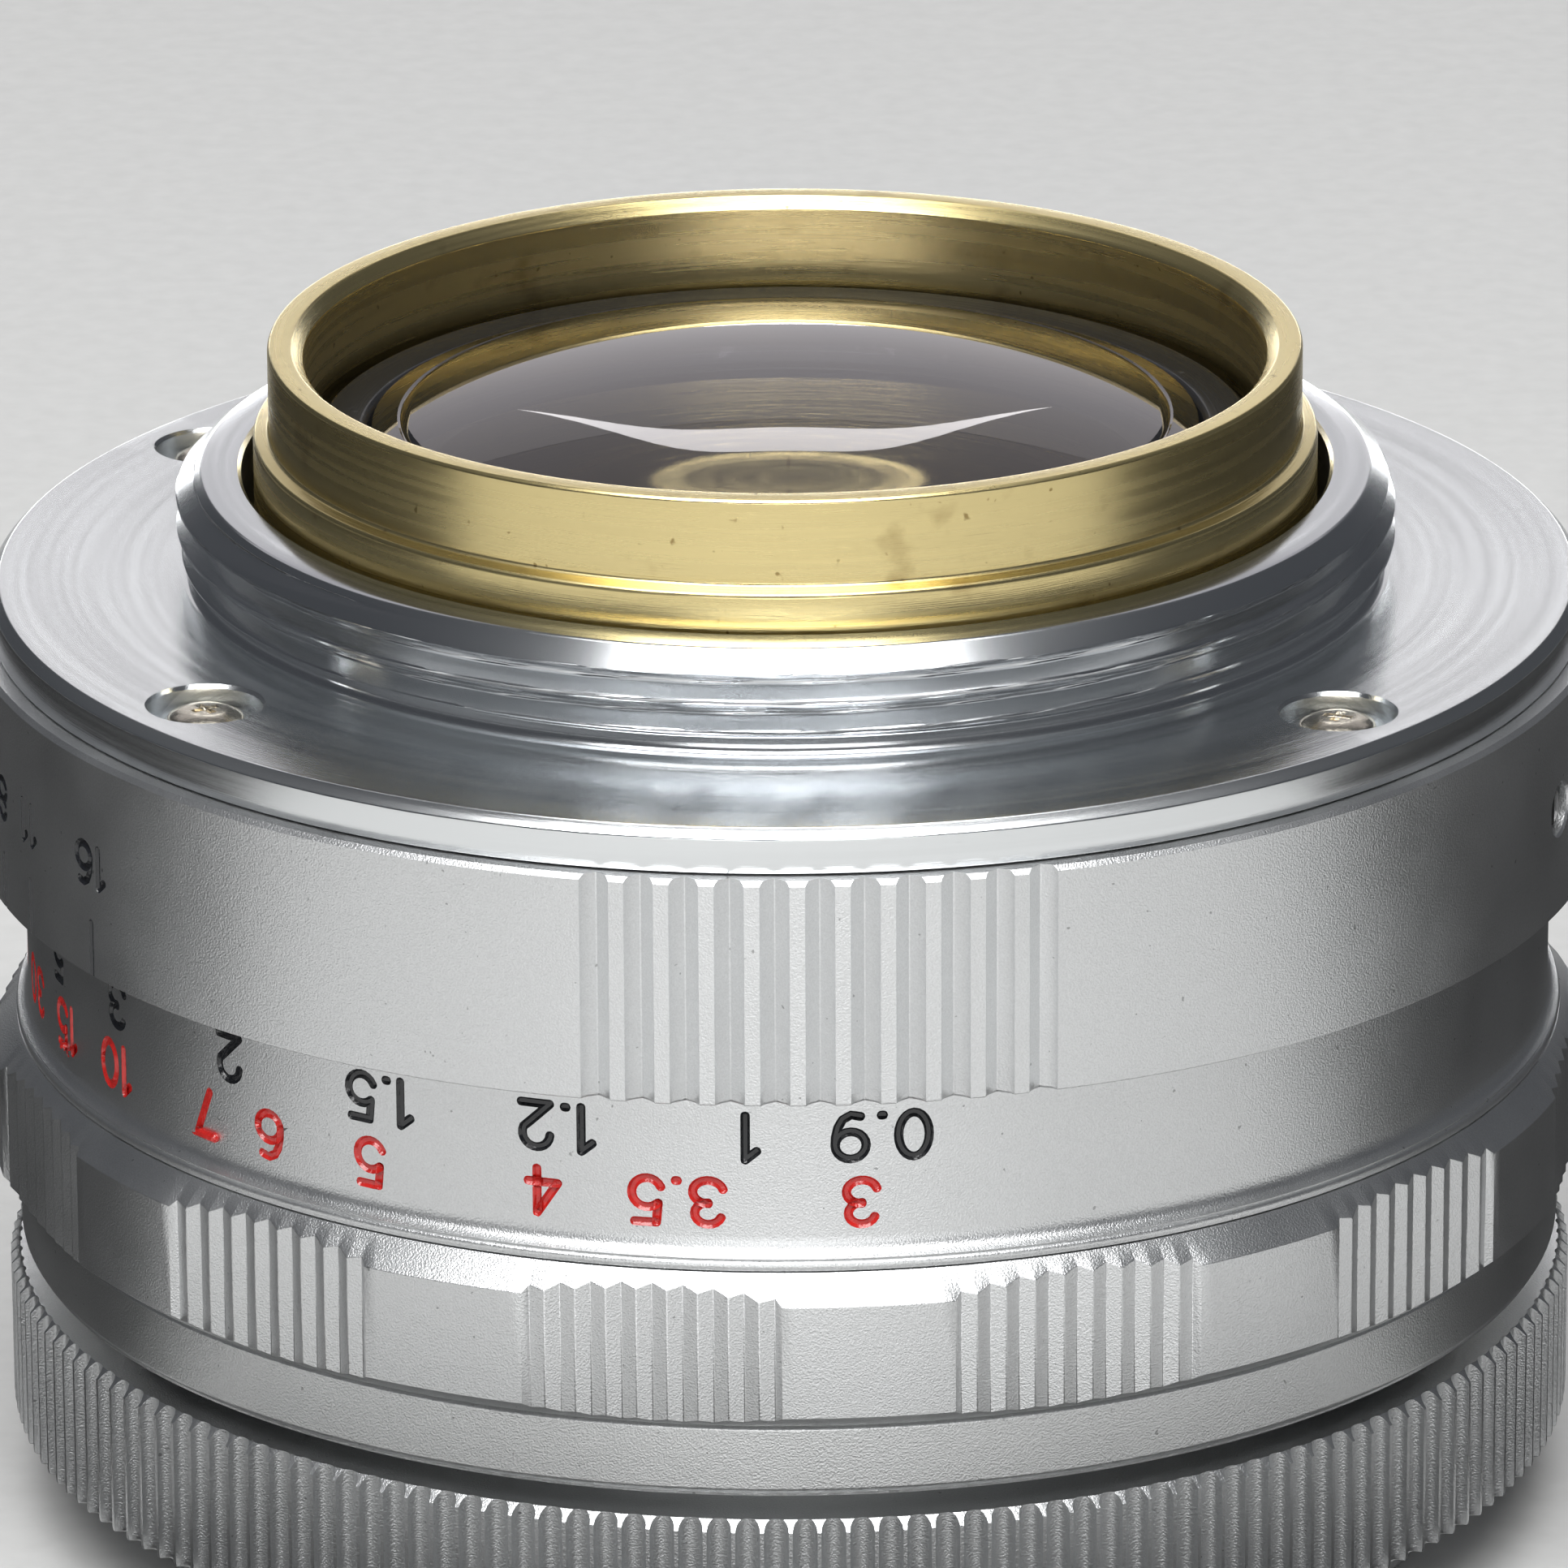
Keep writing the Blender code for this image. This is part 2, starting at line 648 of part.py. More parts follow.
def rear_lens_housing():
    """The rear cell, a stepped tube inside the cam."""
    outline = [
        (15.0, 34.9), (15.0, 23.0), (17.1, 23.0), (17.1, 17.0), (9.8, 17.0),
        (9.8, 23.4), (11.6, 23.4), (11.6, 33.8), (13.4, 33.8), (13.4, 34.9)]
    return metal(turned("rear_lens_housing", outline, INNER_SIDES), BLACK, 0.4)


def rear_retaining_ring():
    """The ring on the rear cell that holds the rear element."""
    outline = [
        (14.8, 35.6), (15.0, 35.4), (15.0, 35.0), (13.4, 35.0), (13.4, 35.5),
        (13.6, 35.6)]
    return metal(turned("rear_retaining_ring", outline, INNER_SIDES), BLACK, 0.4)


def front_lens_housing():
    """The front cell, whose flange the filter ring holds."""
    outline = [
        (20.1, 6.3), (20.1, 5.3), (11.3, 5.3), (11.3, 8.5), (9.8, 8.5),
        (9.8, 12.7), (13.9, 12.7), (13.9, 6.3)]
    return metal(turned("front_lens_housing", outline, INNER_SIDES), BLACK, 0.4)


def front_trim_ring():
    """The dark ring round the front glass."""
    outline = [(19.1, 5.1), (19.1, 4.6), (11.4, 4.9), (11.4, 5.1)]
    return metal(turned("front_trim_ring", outline, OUTER_SIDES), BLACK, 0.5)


def filter_ring():
    """The front rim with the bore for a filter, on which the lens stands."""
    outline = [
        (FILTER_RING_RADIUS - 0.2, 2.6), (FILTER_RING_RADIUS, 2.4),
        (FILTER_RING_RADIUS, 0.3), (FILTER_RING_RADIUS - 0.3, 0.0),
        (FILTER_BORE + 0.2, 0.0), (FILTER_BORE, 0.2), (FILTER_BORE, 5.0),
        (20.2, 5.0), (20.2, 2.6)]
    return metal(turned("filter_ring", outline, OUTER_SIDES), SILVER)


def click_parts():
    """The spring and the ball that click in the aperture ring."""
    ball_mesh = bpy.data.meshes.new("click_ball")
    work = bmesh.new()
    bmesh.ops.create_icosphere(work, subdivisions=2, radius=0.5 * MM)
    work.to_mesh(ball_mesh)
    work.free()
    ball = add_object("click_ball", ball_mesh, COLLECTION)
    put_polar(ball, CLICK_CIRCLE, CLICK_ANGLE, 8.98)
    metal(ball, STEEL, 0.2)
    curve = bpy.data.curves.new("click_spring", "CURVE")
    curve.dimensions = "3D"
    curve.bevel_depth = 0.08 * MM
    curve.bevel_resolution = 0
    curve.use_fill_caps = True
    spline = curve.splines.new("POLY")
    turns = 3
    per_turn = 8
    spline.points.add(turns * per_turn)
    for i, point in enumerate(spline.points):
        x, y = polar(0.5, 360.0 * i / per_turn)
        height = 1.1 * i / (turns * per_turn)
        point.co = (x * MM, y * MM, height * MM, 1.0)
    spring = add_object("click_spring", curve, COLLECTION)
    put_polar(spring, CLICK_CIRCLE, CLICK_ANGLE, 9.62)
    metal(spring, STEEL)


def smooth_round_pieces():
    """Shade the turned pieces smooth, with their corners left sharp."""
    for obj in bpy.data.collections[COLLECTION].objects:
        if obj.type == "MESH" and obj.modifiers:
            obj.data.shade_smooth()
            obj.data.set_sharp_from_angle(angle=math.radians(30.0))


def build():
    """Make every piece of the lens."""
    clear_scene()
    make_collection(COLLECTION)
    make_collection(CUTTER_COLLECTION)
    mount_flange()
    flange_screws()
    fixed_barrel()
    depth_scale_ring()
    grub_screws()
    guide_keys()
    focus_stop_pin()
    rangefinder_cam()
    distance_scale_sleeve()
    focus_grip_ring()
    focus_helicoid()
    grip_screws()
    main_barrel()
    helicoid_retaining_ring()
    front_barrel()
    aperture_ring()
    coupling_screw()
    coupling_arm()
    iris_drive_ring()
    iris_base_plate()
    for number in range(BLADES):
        iris_blade(number)
    glass()
    rear_lens_housing()
    rear_retaining_ring()
    front_lens_housing()
    front_trim_ring()
    filter_ring()
    click_parts()
    smooth_round_pieces()


build()
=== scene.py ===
import math

import bmesh
import bpy
import numpy as np
from mathutils import Matrix, Vector


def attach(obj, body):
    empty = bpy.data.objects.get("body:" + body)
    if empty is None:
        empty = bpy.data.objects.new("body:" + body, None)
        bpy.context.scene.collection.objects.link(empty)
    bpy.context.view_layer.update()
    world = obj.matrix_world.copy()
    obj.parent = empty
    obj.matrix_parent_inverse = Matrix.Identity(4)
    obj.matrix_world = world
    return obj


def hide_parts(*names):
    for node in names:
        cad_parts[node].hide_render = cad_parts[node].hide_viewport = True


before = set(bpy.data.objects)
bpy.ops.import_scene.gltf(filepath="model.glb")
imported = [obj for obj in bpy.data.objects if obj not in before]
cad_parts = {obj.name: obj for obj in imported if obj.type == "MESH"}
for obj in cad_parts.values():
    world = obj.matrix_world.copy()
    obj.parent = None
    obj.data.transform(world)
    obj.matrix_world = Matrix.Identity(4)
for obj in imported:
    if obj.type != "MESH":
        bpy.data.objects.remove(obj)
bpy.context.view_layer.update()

# Lengths are in millimetres and bearings in degrees; MM turns them into Blender's metres.
MM = 0.001
FLANGE = 31.0  # height of the mount's face
BOSS_TOP = FLANGE + 3.5
CAM_TOP = FLANGE + 7.5
PITCH = 25.4 / 26.0  # of the mount's thread
INDEX = -87.0  # bearing of the index line
SHARP_ANGLE = 35.0


def polar(radius, bearing, height):
    """A point in metres; the bearing is from the viewer's side, positive to the right."""
    a = math.radians(bearing)
    return Vector((radius * math.sin(a), -radius * math.cos(a), height)) * MM


def even(count, start=0.0):
    """Evenly spaced bearings round the axis."""
    return [start + 360.0 * i / count for i in range(count)]


def rounded(outline, fillet=0.05, steps=3):
    """Replace each corner of a closed outline by a small arc."""
    result = []
    for i, (r, z, *own) in enumerate(outline):
        reach = own[0] if own else fillet
        here = np.array((r, z))
        back = np.array(outline[i - 1][:2]) - here
        ahead = np.array(outline[(i + 1) % len(outline)][:2]) - here
        reach = min(reach, 0.45 * np.linalg.norm(back), 0.45 * np.linalg.norm(ahead))
        if reach <= 0.0:
            result.append((r, z))
            continue
        start = here + back / np.linalg.norm(back) * reach
        end = here + ahead / np.linalg.norm(ahead) * reach
        for k in range(steps + 1):
            t = k / steps
            point = (1 - t) ** 2 * start + 2 * t * (1 - t) * here + t * t * end
            result.append(tuple(point))
    return result


def mesh_object(name, verts, faces):
    """An object in the scene from points in metres and faces."""
    mesh = bpy.data.meshes.new(name)
    mesh.from_pydata([tuple(v) for v in verts], [], faces)
    obj = bpy.data.objects.new(name, mesh)
    bpy.context.scene.collection.objects.link(obj)
    return obj


def lathe(name, profile, bearings, closed=True):
    """Turn an outline about Z. It runs down the outer side; it may depend on the bearing."""
    rings = [profile(b) if callable(profile) else profile for b in bearings]
    rows = len(rings[0])
    verts = []
    for bearing, ring in zip(bearings, rings):
        s = math.sin(math.radians(bearing)) * MM
        c = -math.cos(math.radians(bearing)) * MM
        verts += [(r * s, r * c, z * MM) for r, z in ring]
    faces = []
    count = len(bearings)
    for j in range(count):
        here, there = j * rows, (j + 1) % count * rows
        for i in range(rows if closed else rows - 1):
            k = (i + 1) % rows
            faces.append((here + i, here + k, there + k, there + i))
    obj = mesh_object(name, verts, faces)
    if not closed:
        clean(obj)
    return obj


def clean(obj):
    """Merge points that coincide and turn every face outwards."""
    work = bmesh.new()
    work.from_mesh(obj.data)
    bmesh.ops.remove_doubles(work, verts=work.verts, dist=1e-7)
    bmesh.ops.dissolve_degenerate(work, edges=work.edges, dist=1e-8)
    bmesh.ops.recalc_face_normals(work, faces=work.faces)
    work.to_mesh(obj.data)
    work.free()


def place(obj, radius, bearing, height, tilt=0.0):
    """Put an object at a bearing; tilt 90 lays its own Z axis outwards."""
    obj.location = polar(radius, bearing, height)
    obj.rotation_mode = "XYZ"
    obj.rotation_euler = (math.radians(tilt), 0.0, math.radians(bearing))
    return obj


def join(name, objects):
    """One object from several, with their places put into the mesh."""
    verts, faces = [], []
    bpy.context.view_layer.update()
    for obj in objects:
        base = len(verts)
        verts += [obj.matrix_world @ v.co for v in obj.data.vertices]
        faces += [[base + v for v in p.vertices] for p in obj.data.polygons]
        bpy.data.objects.remove(obj)
    return mesh_object(name, verts, faces)


def carve(obj, tool, paint=None, own=False):
    """Cut a tool out of a piece; paint colours the cut faces, own is for tools that overlap."""
    if paint:
        tool.data.materials.append(paint)
    boolean = obj.modifiers.new("cut", "BOOLEAN")
    boolean.operation = "DIFFERENCE"
    boolean.solver = "EXACT"
    boolean.object = tool
    boolean.use_self = own
    boolean.material_mode = "TRANSFER" if paint else "INDEX"
    bpy.context.view_layer.update()
    shape = obj.evaluated_get(bpy.context.evaluated_depsgraph_get())
    mesh = bpy.data.meshes.new_from_object(shape)
    obj.modifiers.clear()
    obj.data = mesh
    bpy.data.objects.remove(tool)
    return obj


def box(name, size):
    """A box of this size in millimetres, round its own origin."""
    x, y, z = (s * MM / 2 for s in size)
    verts = [(i * x, j * y, k * z) for i in (-1, 1) for j in (-1, 1) for k in (-1, 1)]
    faces = [(0, 1, 3, 2), (4, 6, 7, 5), (0, 4, 5, 1), (2, 3, 7, 6), (0, 2, 6, 4), (1, 5, 7, 3)]
    return mesh_object(name, verts, faces)


# ---------------------------------------------------------------- materials

class Look:
    """A Principled material and short ways to add nodes to it."""

    def __init__(self, name, colour, metallic, roughness):
        self.material = bpy.data.materials.new(name)
        self.material.use_nodes = True
        self.nodes = self.material.node_tree.nodes
        self.links = self.material.node_tree.links
        self.shader = self.nodes["Principled BSDF"]
        self.set("Base Color", (*colour, 1.0))
        self.set("Metallic", metallic)
        self.set("Roughness", roughness)

    def set(self, socket, value):
        self.shader.inputs[socket].default_value = value

    def add(self, kind, **values):
        node = self.nodes.new(kind)
        for key, value in values.items():
            setattr(node, key, value)
        return node

    def link(self, source, target):
        self.links.new(source, target)

    def math(self, operation, a, b=0.0, c=0.0):
        node = self.add("ShaderNodeMath", operation=operation)
        for socket, value in zip(node.inputs, (a, b, c)):
            if isinstance(value, (int, float)):
                socket.default_value = value
            else:
                self.link(value, socket)
        return node.outputs[0]

    def object_vector(self):
        return self.add("ShaderNodeTexCoord").outputs["Object"]

    def turned_vector(self):
        """Coordinates that stretch a noise round the axis, without a seam."""
        spread = 0.0004
        split = self.add("ShaderNodeSeparateXYZ")
        self.link(self.object_vector(), split.inputs[0])
        x, y, z = split.outputs
        radius = self.math("SQRT", self.math("ADD", self.math("MULTIPLY", x, x),
                                             self.math("MULTIPLY", y, y)))
        safe = self.math("MAXIMUM", radius, 1e-5)
        along = self.math("ADD", radius, self.math("MULTIPLY", z, 1.37))
        combined = self.add("ShaderNodeCombineXYZ")
        self.link(self.math("MULTIPLY", self.math("DIVIDE", x, safe), spread), combined.inputs[0])
        self.link(self.math("MULTIPLY", self.math("DIVIDE", y, safe), spread), combined.inputs[1])
        self.link(along, combined.inputs[2])
        return combined.outputs[0]

    def noise(self, vector, scale, detail=3.0, low=0.0, high=1.0, start=0.3, end=0.7):
        """A noise whose stretch from start to end is spread over low to high."""
        texture = self.add("ShaderNodeTexNoise")
        texture.inputs["Scale"].default_value = scale
        texture.inputs["Detail"].default_value = detail
        self.link(vector, texture.inputs["Vector"])
        ramp = self.add("ShaderNodeMapRange")
        self.link(texture.outputs["Fac"], ramp.inputs[0])
        for socket, value in zip(list(ramp.inputs)[1:5], (start, end, low, high)):
            socket.default_value = value
        return ramp.outputs[0]

    def mix(self, factor, a, b):
        node = self.add("ShaderNodeMix", data_type="RGBA")
        self.link(factor, node.inputs["Factor"])
        for socket, value in zip((node.inputs[6], node.inputs[7]), (a, b)):
            if isinstance(value, tuple):
                socket.default_value = (*value, 1.0)
            else:
                self.link(value, socket)
        return node.outputs[2]

    def bump(self, height, distance, strength):
        node = self.add("ShaderNodeBump")
        node.inputs["Strength"].default_value = strength
        node.inputs["Distance"].default_value = distance
        self.link(height, node.inputs["Height"])
        return node.outputs[0]


def satin(name, colour=(0.80, 0.81, 0.815)):
    """Bead-blasted, clear-anodised aluminium: fine grain, faint clouds and specks."""
    roughness = 0.36
    look = Look(name, colour, 1.0, roughness)
    where = look.object_vector()
    fine = look.noise(where, 16000.0, 2.0)
    clouds = look.noise(where, 260.0, 3.0)
    specks = look.noise(where, 4200.0, 1.0, 0.0, 1.0, 0.765, 0.80)
    dark = tuple(c * 0.90 for c in colour)
    pale = tuple(min(1.0, c * 1.04) for c in colour)
    tone = look.mix(look.math("MULTIPLY_ADD", clouds, 0.3, look.math("MULTIPLY", fine, 0.7)),
                    dark, pale)
    grit = tuple(c * 0.55 for c in colour)
    look.link(look.mix(specks, tone, grit), look.shader.inputs["Base Color"])
    rough = look.math("MULTIPLY_ADD", clouds, 0.05, roughness - 0.025)
    look.link(rough, look.shader.inputs["Roughness"])
    look.link(look.bump(fine, 0.000016, 0.4), look.shader.inputs["Normal"])
    return look.material


def turned_metal(name, colour, roughness, anisotropy, ridge, stains=0.0, stain_colour=None):
    """Lathe-turned metal: fine rings, a streaked sheen and, if asked for, dark stains."""
    look = Look(name, colour, 1.0, roughness)
    around = look.turned_vector()
    rings = look.noise(around, 22000.0, 4.0)
    bands = look.noise(around, 2500.0, 2.0)
    base = look.mix(bands, tuple(c * 0.94 for c in colour), colour)
    if stains:
        where = look.object_vector()
        blots = look.noise(where, 520.0, 5.0, 0.0, stains, 0.60, 0.80)
        dots = look.noise(where, 3000.0, 1.0, 0.0, 0.8, 0.74, 0.80)
        both = look.math("MAXIMUM", blots, dots)
        base = look.mix(both, base, stain_colour)
    look.link(base, look.shader.inputs["Base Color"])
    rough = look.math("MULTIPLY_ADD", bands, 0.08, roughness - 0.04)
    look.link(rough, look.shader.inputs["Roughness"])
    look.set("Anisotropic", anisotropy)
    tangent = look.add("ShaderNodeTangent", direction_type="RADIAL", axis="Z")
    look.link(tangent.outputs[0], look.shader.inputs["Tangent"])
    look.link(look.bump(rings, ridge, 0.5), look.shader.inputs["Normal"])
    return look.material


def black_anodised(name, roughness=0.35, colour=(0.014, 0.014, 0.015)):
    """Black anodised metal with fine turning rings and a little grey dust."""
    look = Look(name, colour, 0.0, roughness)
    around = look.turned_vector()
    rings = look.noise(around, 9000.0, 3.0)
    dust = look.noise(look.object_vector(), 2400.0, 2.0, 0.0, 0.6, 0.70, 0.80)
    look.link(look.mix(dust, colour, (0.16, 0.16, 0.16)), look.shader.inputs["Base Color"])
    look.link(look.bump(rings, 0.00001, 0.5), look.shader.inputs["Normal"])
    return look.material


def steel(name, colour=(0.58, 0.57, 0.54), roughness=0.25):
    """Small steel parts with fine scratches."""
    look = Look(name, colour, 1.0, roughness)
    where = look.object_vector()
    scratches = look.noise(where, 9000.0, 4.0)
    tone = look.noise(where, 1800.0, 2.0)
    look.link(look.mix(tone, tuple(c * 0.75 for c in colour), colour),
              look.shader.inputs["Base Color"])
    look.link(look.bump(scratches, 0.000008, 0.4), look.shader.inputs["Normal"])
    return look.material


def paint(name, colour):
    """Thick glossy engraving paint."""
    look = Look(name, colour, 0.0, 0.22)
    where = look.object_vector()
    wear = look.noise(where, 3000.0, 3.0)
    look.link(look.mix(wear, tuple(c * 0.7 for c in colour), colour),
              look.shader.inputs["Base Color"])
    look.link(look.bump(look.noise(where, 5000.0, 2.0), 0.00003, 0.5),
              look.shader.inputs["Normal"])
    look.set("Coat Weight", 0.5)
    look.set("Coat Roughness", 0.1)
    return look.material


FACE_ON = 0.05  # the share of light that glass reflects face on
COATING = 2.0  # how much more the coating makes of it


def coated_glass(name, tint):
    """Glass as a clear pane with a coloured coating reflection."""
    look = Look(name, (0.0, 0.0, 0.0), 0.0, 0.02)
    look.nodes.remove(look.shader)
    glossy = look.add("ShaderNodeBsdfGlossy")
    glossy.inputs["Roughness"].default_value = 0.015
    edge = look.add("ShaderNodeLayerWeight")
    edge.inputs["Blend"].default_value = 0.5
    smear = look.noise(look.object_vector(), 380.0, 4.0, 0.0, 0.25)
    tone = look.mix(edge.outputs["Facing"], tint, (0.95, 0.93, 0.90))
    look.link(look.mix(smear, tone, (0.80, 0.80, 0.84)), glossy.inputs["Color"])
    clear = look.add("ShaderNodeBsdfTransparent")
    clear.inputs["Color"].default_value = (0.80, 0.81, 0.82, 1.0)
    grazing = look.math("POWER", edge.outputs["Facing"], 5.0)
    reflected = look.math("MULTIPLY_ADD", grazing, 1.0 - FACE_ON, FACE_ON)
    amount = look.math("MINIMUM", look.math("MULTIPLY", reflected, COATING), 1.0)
    both = look.add("ShaderNodeMixShader")
    look.link(amount, both.inputs[0])
    look.link(clear.outputs[0], both.inputs[1])
    look.link(glossy.outputs[0], both.inputs[2])
    look.link(both.outputs[0], look.nodes["Material Output"].inputs["Surface"])
    return look.material


BLACK_PAINT = paint("paint_black", (0.012, 0.013, 0.016))
RED_PAINT = paint("paint_red", (0.62, 0.022, 0.018))

# ---------------------------------------------------------------- lettering


def bow(cx, cy, rx, ry, start, end, steps):
    """Points along part of an ellipse."""
    return [(cx + rx * math.cos(math.radians(start + (end - start) * i / steps)),
             cy + ry * math.sin(math.radians(start + (end - start) * i / steps)))
            for i in range(steps + 1)]


SIX = [bow(0.33, 0.31, 0.33, 0.31, 0, 360, 20),
       [(0.0, 0.31), (0.01, 0.5), (0.06, 0.72), (0.16, 0.90), (0.34, 1.0), (0.54, 0.96)]]
# Each character's width and strokes, for a height of 1; the star stands for infinity.
GLYPHS = {
    "0": (0.66, [bow(0.33, 0.5, 0.33, 0.5, 0, 360, 24)]),
    "1": (0.24, [[(0.24, 0.0), (0.24, 1.0)], [(0.24, 1.0), (0.0, 0.80)]]),
    "2": (0.62, [bow(0.31, 0.69, 0.31, 0.31, 175, -25, 12) + [(0.44, 0.42), (0.0, 0.0)],
                 [(0.0, 0.0), (0.64, 0.0)]]),
    "3": (0.66, [bow(0.33, 0.755, 0.29, 0.245, 160, -90, 14),
                 bow(0.33, 0.265, 0.33, 0.265, 90, -165, 16)]),
    "4": (0.66, [[(0.46, 0.0), (0.46, 1.0)], [(0.46, 1.0), (0.0, 0.30)],
                 [(0.0, 0.30), (0.66, 0.30)]]),
    "5": (0.62, [[(0.56, 1.0), (0.09, 1.0)], [(0.09, 1.0), (0.05, 0.56)],
                 bow(0.29, 0.33, 0.33, 0.33, 130, -155, 18)]),
    "6": (0.66, SIX),
    "7": (0.60, [[(0.0, 1.0), (0.60, 1.0)], [(0.60, 1.0), (0.18, 0.0)]]),
    "8": (0.66, [bow(0.33, 0.755, 0.27, 0.245, 0, 360, 18),
                 bow(0.33, 0.255, 0.33, 0.255, 0, 360, 20)]),
    "9": (0.66, [[(0.66 - x, 1.0 - y) for x, y in path] for path in SIX]),
    ".": (0.04, [[(0.0, 0.03), (0.04, 0.03)]]),
    "*": (1.2, [[(0.6 + 0.6 * math.cos(t) / (1 + math.sin(t) ** 2),
                  0.5 + 0.85 * math.sin(t) * math.cos(t) / (1 + math.sin(t) ** 2))
                 for t in [math.tau * i / 32 for i in range(33)]]]),
}


def stroke(points, radius, sides=8):
    """A closed tube with round ends along points that lie round the lens's axis."""
    rings = []
    steps = len(points)
    for i, point in enumerate(points):
        ahead = points[min(i + 1, steps - 1)] - points[max(i - 1, 0)]
        tangent = ahead.normalized()
        up = Vector((point.x, point.y, 0.0)).normalized()
        side = tangent.cross(up).normalized()
        up = side.cross(tangent)
        rings.append((point, tangent, side, up, radius))
    first, last = rings[0], rings[-1]
    cap = ((0.97, 0.22), (0.71, 0.71), (0.38, 0.92))
    starts = [(first[0] - first[1] * radius * k, *first[1:4], radius * s) for k, s in cap]
    ends = [(last[0] + last[1] * radius * k, *last[1:4], radius * s) for k, s in reversed(cap)]
    rings = starts + rings + ends
    verts, faces = [], []
    for centre, _, side, up, size in rings:
        for k in range(sides):
            a = math.tau * (k + 0.5) / sides
            verts.append(centre + side * size * math.cos(a) + up * size * math.sin(a))
    for j in range(len(rings) - 1):
        for k in range(sides):
            m = (k + 1) % sides
            faces.append((j * sides + k, j * sides + m, (j + 1) * sides + m, (j + 1) * sides + k))
    faces.append(tuple(range(sides))[::-1])
    faces.append(tuple((len(rings) - 1) * sides + k for k in range(sides)))
    obj = mesh_object("stroke", verts, faces)
    clean(obj)
    return obj


def dense(path, longest):
    """More points along a path, so that it bends round the ring."""
    result = [path[0]]
    for a, b in zip(path, path[1:]):
        count = max(1, int(math.ceil(math.dist(a, b) / longest)))
        result += [(a[0] + (b[0] - a[0]) * i / count, a[1] + (b[1] - a[1]) * i / count)
                   for i in range(1, count + 1)]
    return result


LIFT = 0.05  # how far a stroke's middle lies above the surface that it cuts


def text(words, bearing, middle, radius, height, width=0.30):
    """Strokes for a number whose top is towards the front rim."""
    size = height - width
    gap = 0.17
    spans = [GLYPHS[c][0] * size + width for c in words]
    total = sum(spans) + gap * (len(words) - 1)
    left = -total / 2.0
    strokes = []
    for letter, span in zip(words, spans):
        for path in GLYPHS[letter][1]:
            flat = dense([(left + width / 2 + u * size, (v - 0.5) * size) for u, v in path], 0.25)
            points = [polar(radius + LIFT, bearing - math.degrees(u / radius), middle - v)
                      for u, v in flat]
            strokes.append(stroke(points, (width / 2 + 0.01) * MM))
        left += span + gap
    return strokes


def line(bearing, low, high, radius, width):
    """An upright engraved line."""
    points = [polar(radius + LIFT, bearing, low + (high - low) * i / 4) for i in range(5)]
    return stroke(points, width / 2 * MM)


# ---------------------------------------------------------------- finishing


def finish_piece(obj, node, body, material):
    """Shade a fine piece, hand its node over to it and let it ride on its body."""
    if len(obj.data.materials):
        obj.data.materials[0] = material
    else:
        obj.data.materials.append(material)
    obj.data.shade_smooth()
    obj.data.set_sharp_from_angle(angle=math.radians(SHARP_ANGLE))
    normals = obj.modifiers.new("normals", "WEIGHTED_NORMAL")
    normals.keep_sharp = True
    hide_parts(node)
    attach(obj, body)
    return obj


def thread_radius(height, bearing, crest, depth, top):
    """Radius of a screw thread whose crest passes bearing 0 at the height top."""
    turn = (height - top) / PITCH - bearing / 360.0
    saw = abs(2.0 * (turn % 1.0) - 1.0)
    return crest - depth + depth * min(1.0, max(0.0, (saw - 0.10) / 0.78))


def smooth_step(x, low, high):
    """0 below low, 1 above high, with an easy curve between."""
    t = min(1.0, max(0.0, (x - low) / (high - low)))
    return t * t * (3.0 - 2.0 * t)


# ---------------------------------------------------------------- pieces

SCREW_BEARINGS = (-53.0, 49.0, -123.0, 155.0)
SCREW_CIRCLE = 22.6
THREAD_CREST = 19.5
THREAD_DEPTH = 0.6
THREAD_ROWS = 104
NECK = 18.92
NECK_FILLET = 0.42
PLATE = rounded(
    [(19.5, FLANGE, 0.0), (25.2, FLANGE, 0.04), (25.5, FLANGE - 0.3, 0.04),
     (25.5, FLANGE - 1.39, 0.03), (17.4, FLANGE - 1.39, 0.05)])[1:]


def mount_outline(bearing):
    """Boss, helical thread, neck and plate, from the boss top down."""
    points = [(17.4, BOSS_TOP - 0.12), (17.52, BOSS_TOP), (18.62, BOSS_TOP)]
    high = BOSS_TOP - 0.06
    low = FLANGE + NECK_FILLET
    for i in range(THREAD_ROWS):
        z = high - (high - low) * i / (THREAD_ROWS - 1)
        r = thread_radius(z, bearing, THREAD_CREST, THREAD_DEPTH, FLANGE + 2.95)
        r = NECK + (r - NECK) * smooth_step(z, FLANGE + 0.62, FLANGE + 0.95)
        points.append((min(r, 18.66 + (BOSS_TOP - z) * 1.25), z))
    for i in range(1, 6):
        a = math.radians(90.0 * i / 5)
        points.append((NECK + NECK_FILLET * (1 - math.cos(a)), low - NECK_FILLET * math.sin(a)))
    return points + PLATE


flange = lathe("visual_mount_flange", mount_outline, even(480))
seats = []
for spot in SCREW_BEARINGS:
    seat = lathe("seat", [(0.0, 1.0), (1.9, 1.0), (1.9, 0.02), (1.8, -0.12), (1.8, -0.9),
                          (0.95, -0.9), (0.85, -1.0), (0.85, -3.0), (0.0, -3.0)], even(48), False)
    seats.append(place(seat, SCREW_CIRCLE, spot, FLANGE))
carve(flange, join("seats", seats))
finish_piece(flange, "mount_flange", "mount",
             turned_metal("mount_flange_turned", (0.84, 0.86, 0.87), 0.20, 0.75, 0.000003))
flange.data.materials.append(
    turned_metal("mount_thread_turned", (0.80, 0.82, 0.84), 0.18, 0.0, 0.000001))
for face in flange.data.polygons:
    spot = face.center / MM
    if spot.z > FLANGE + 0.02 and spot.xy.length < 19.6:
        face.material_index = 1

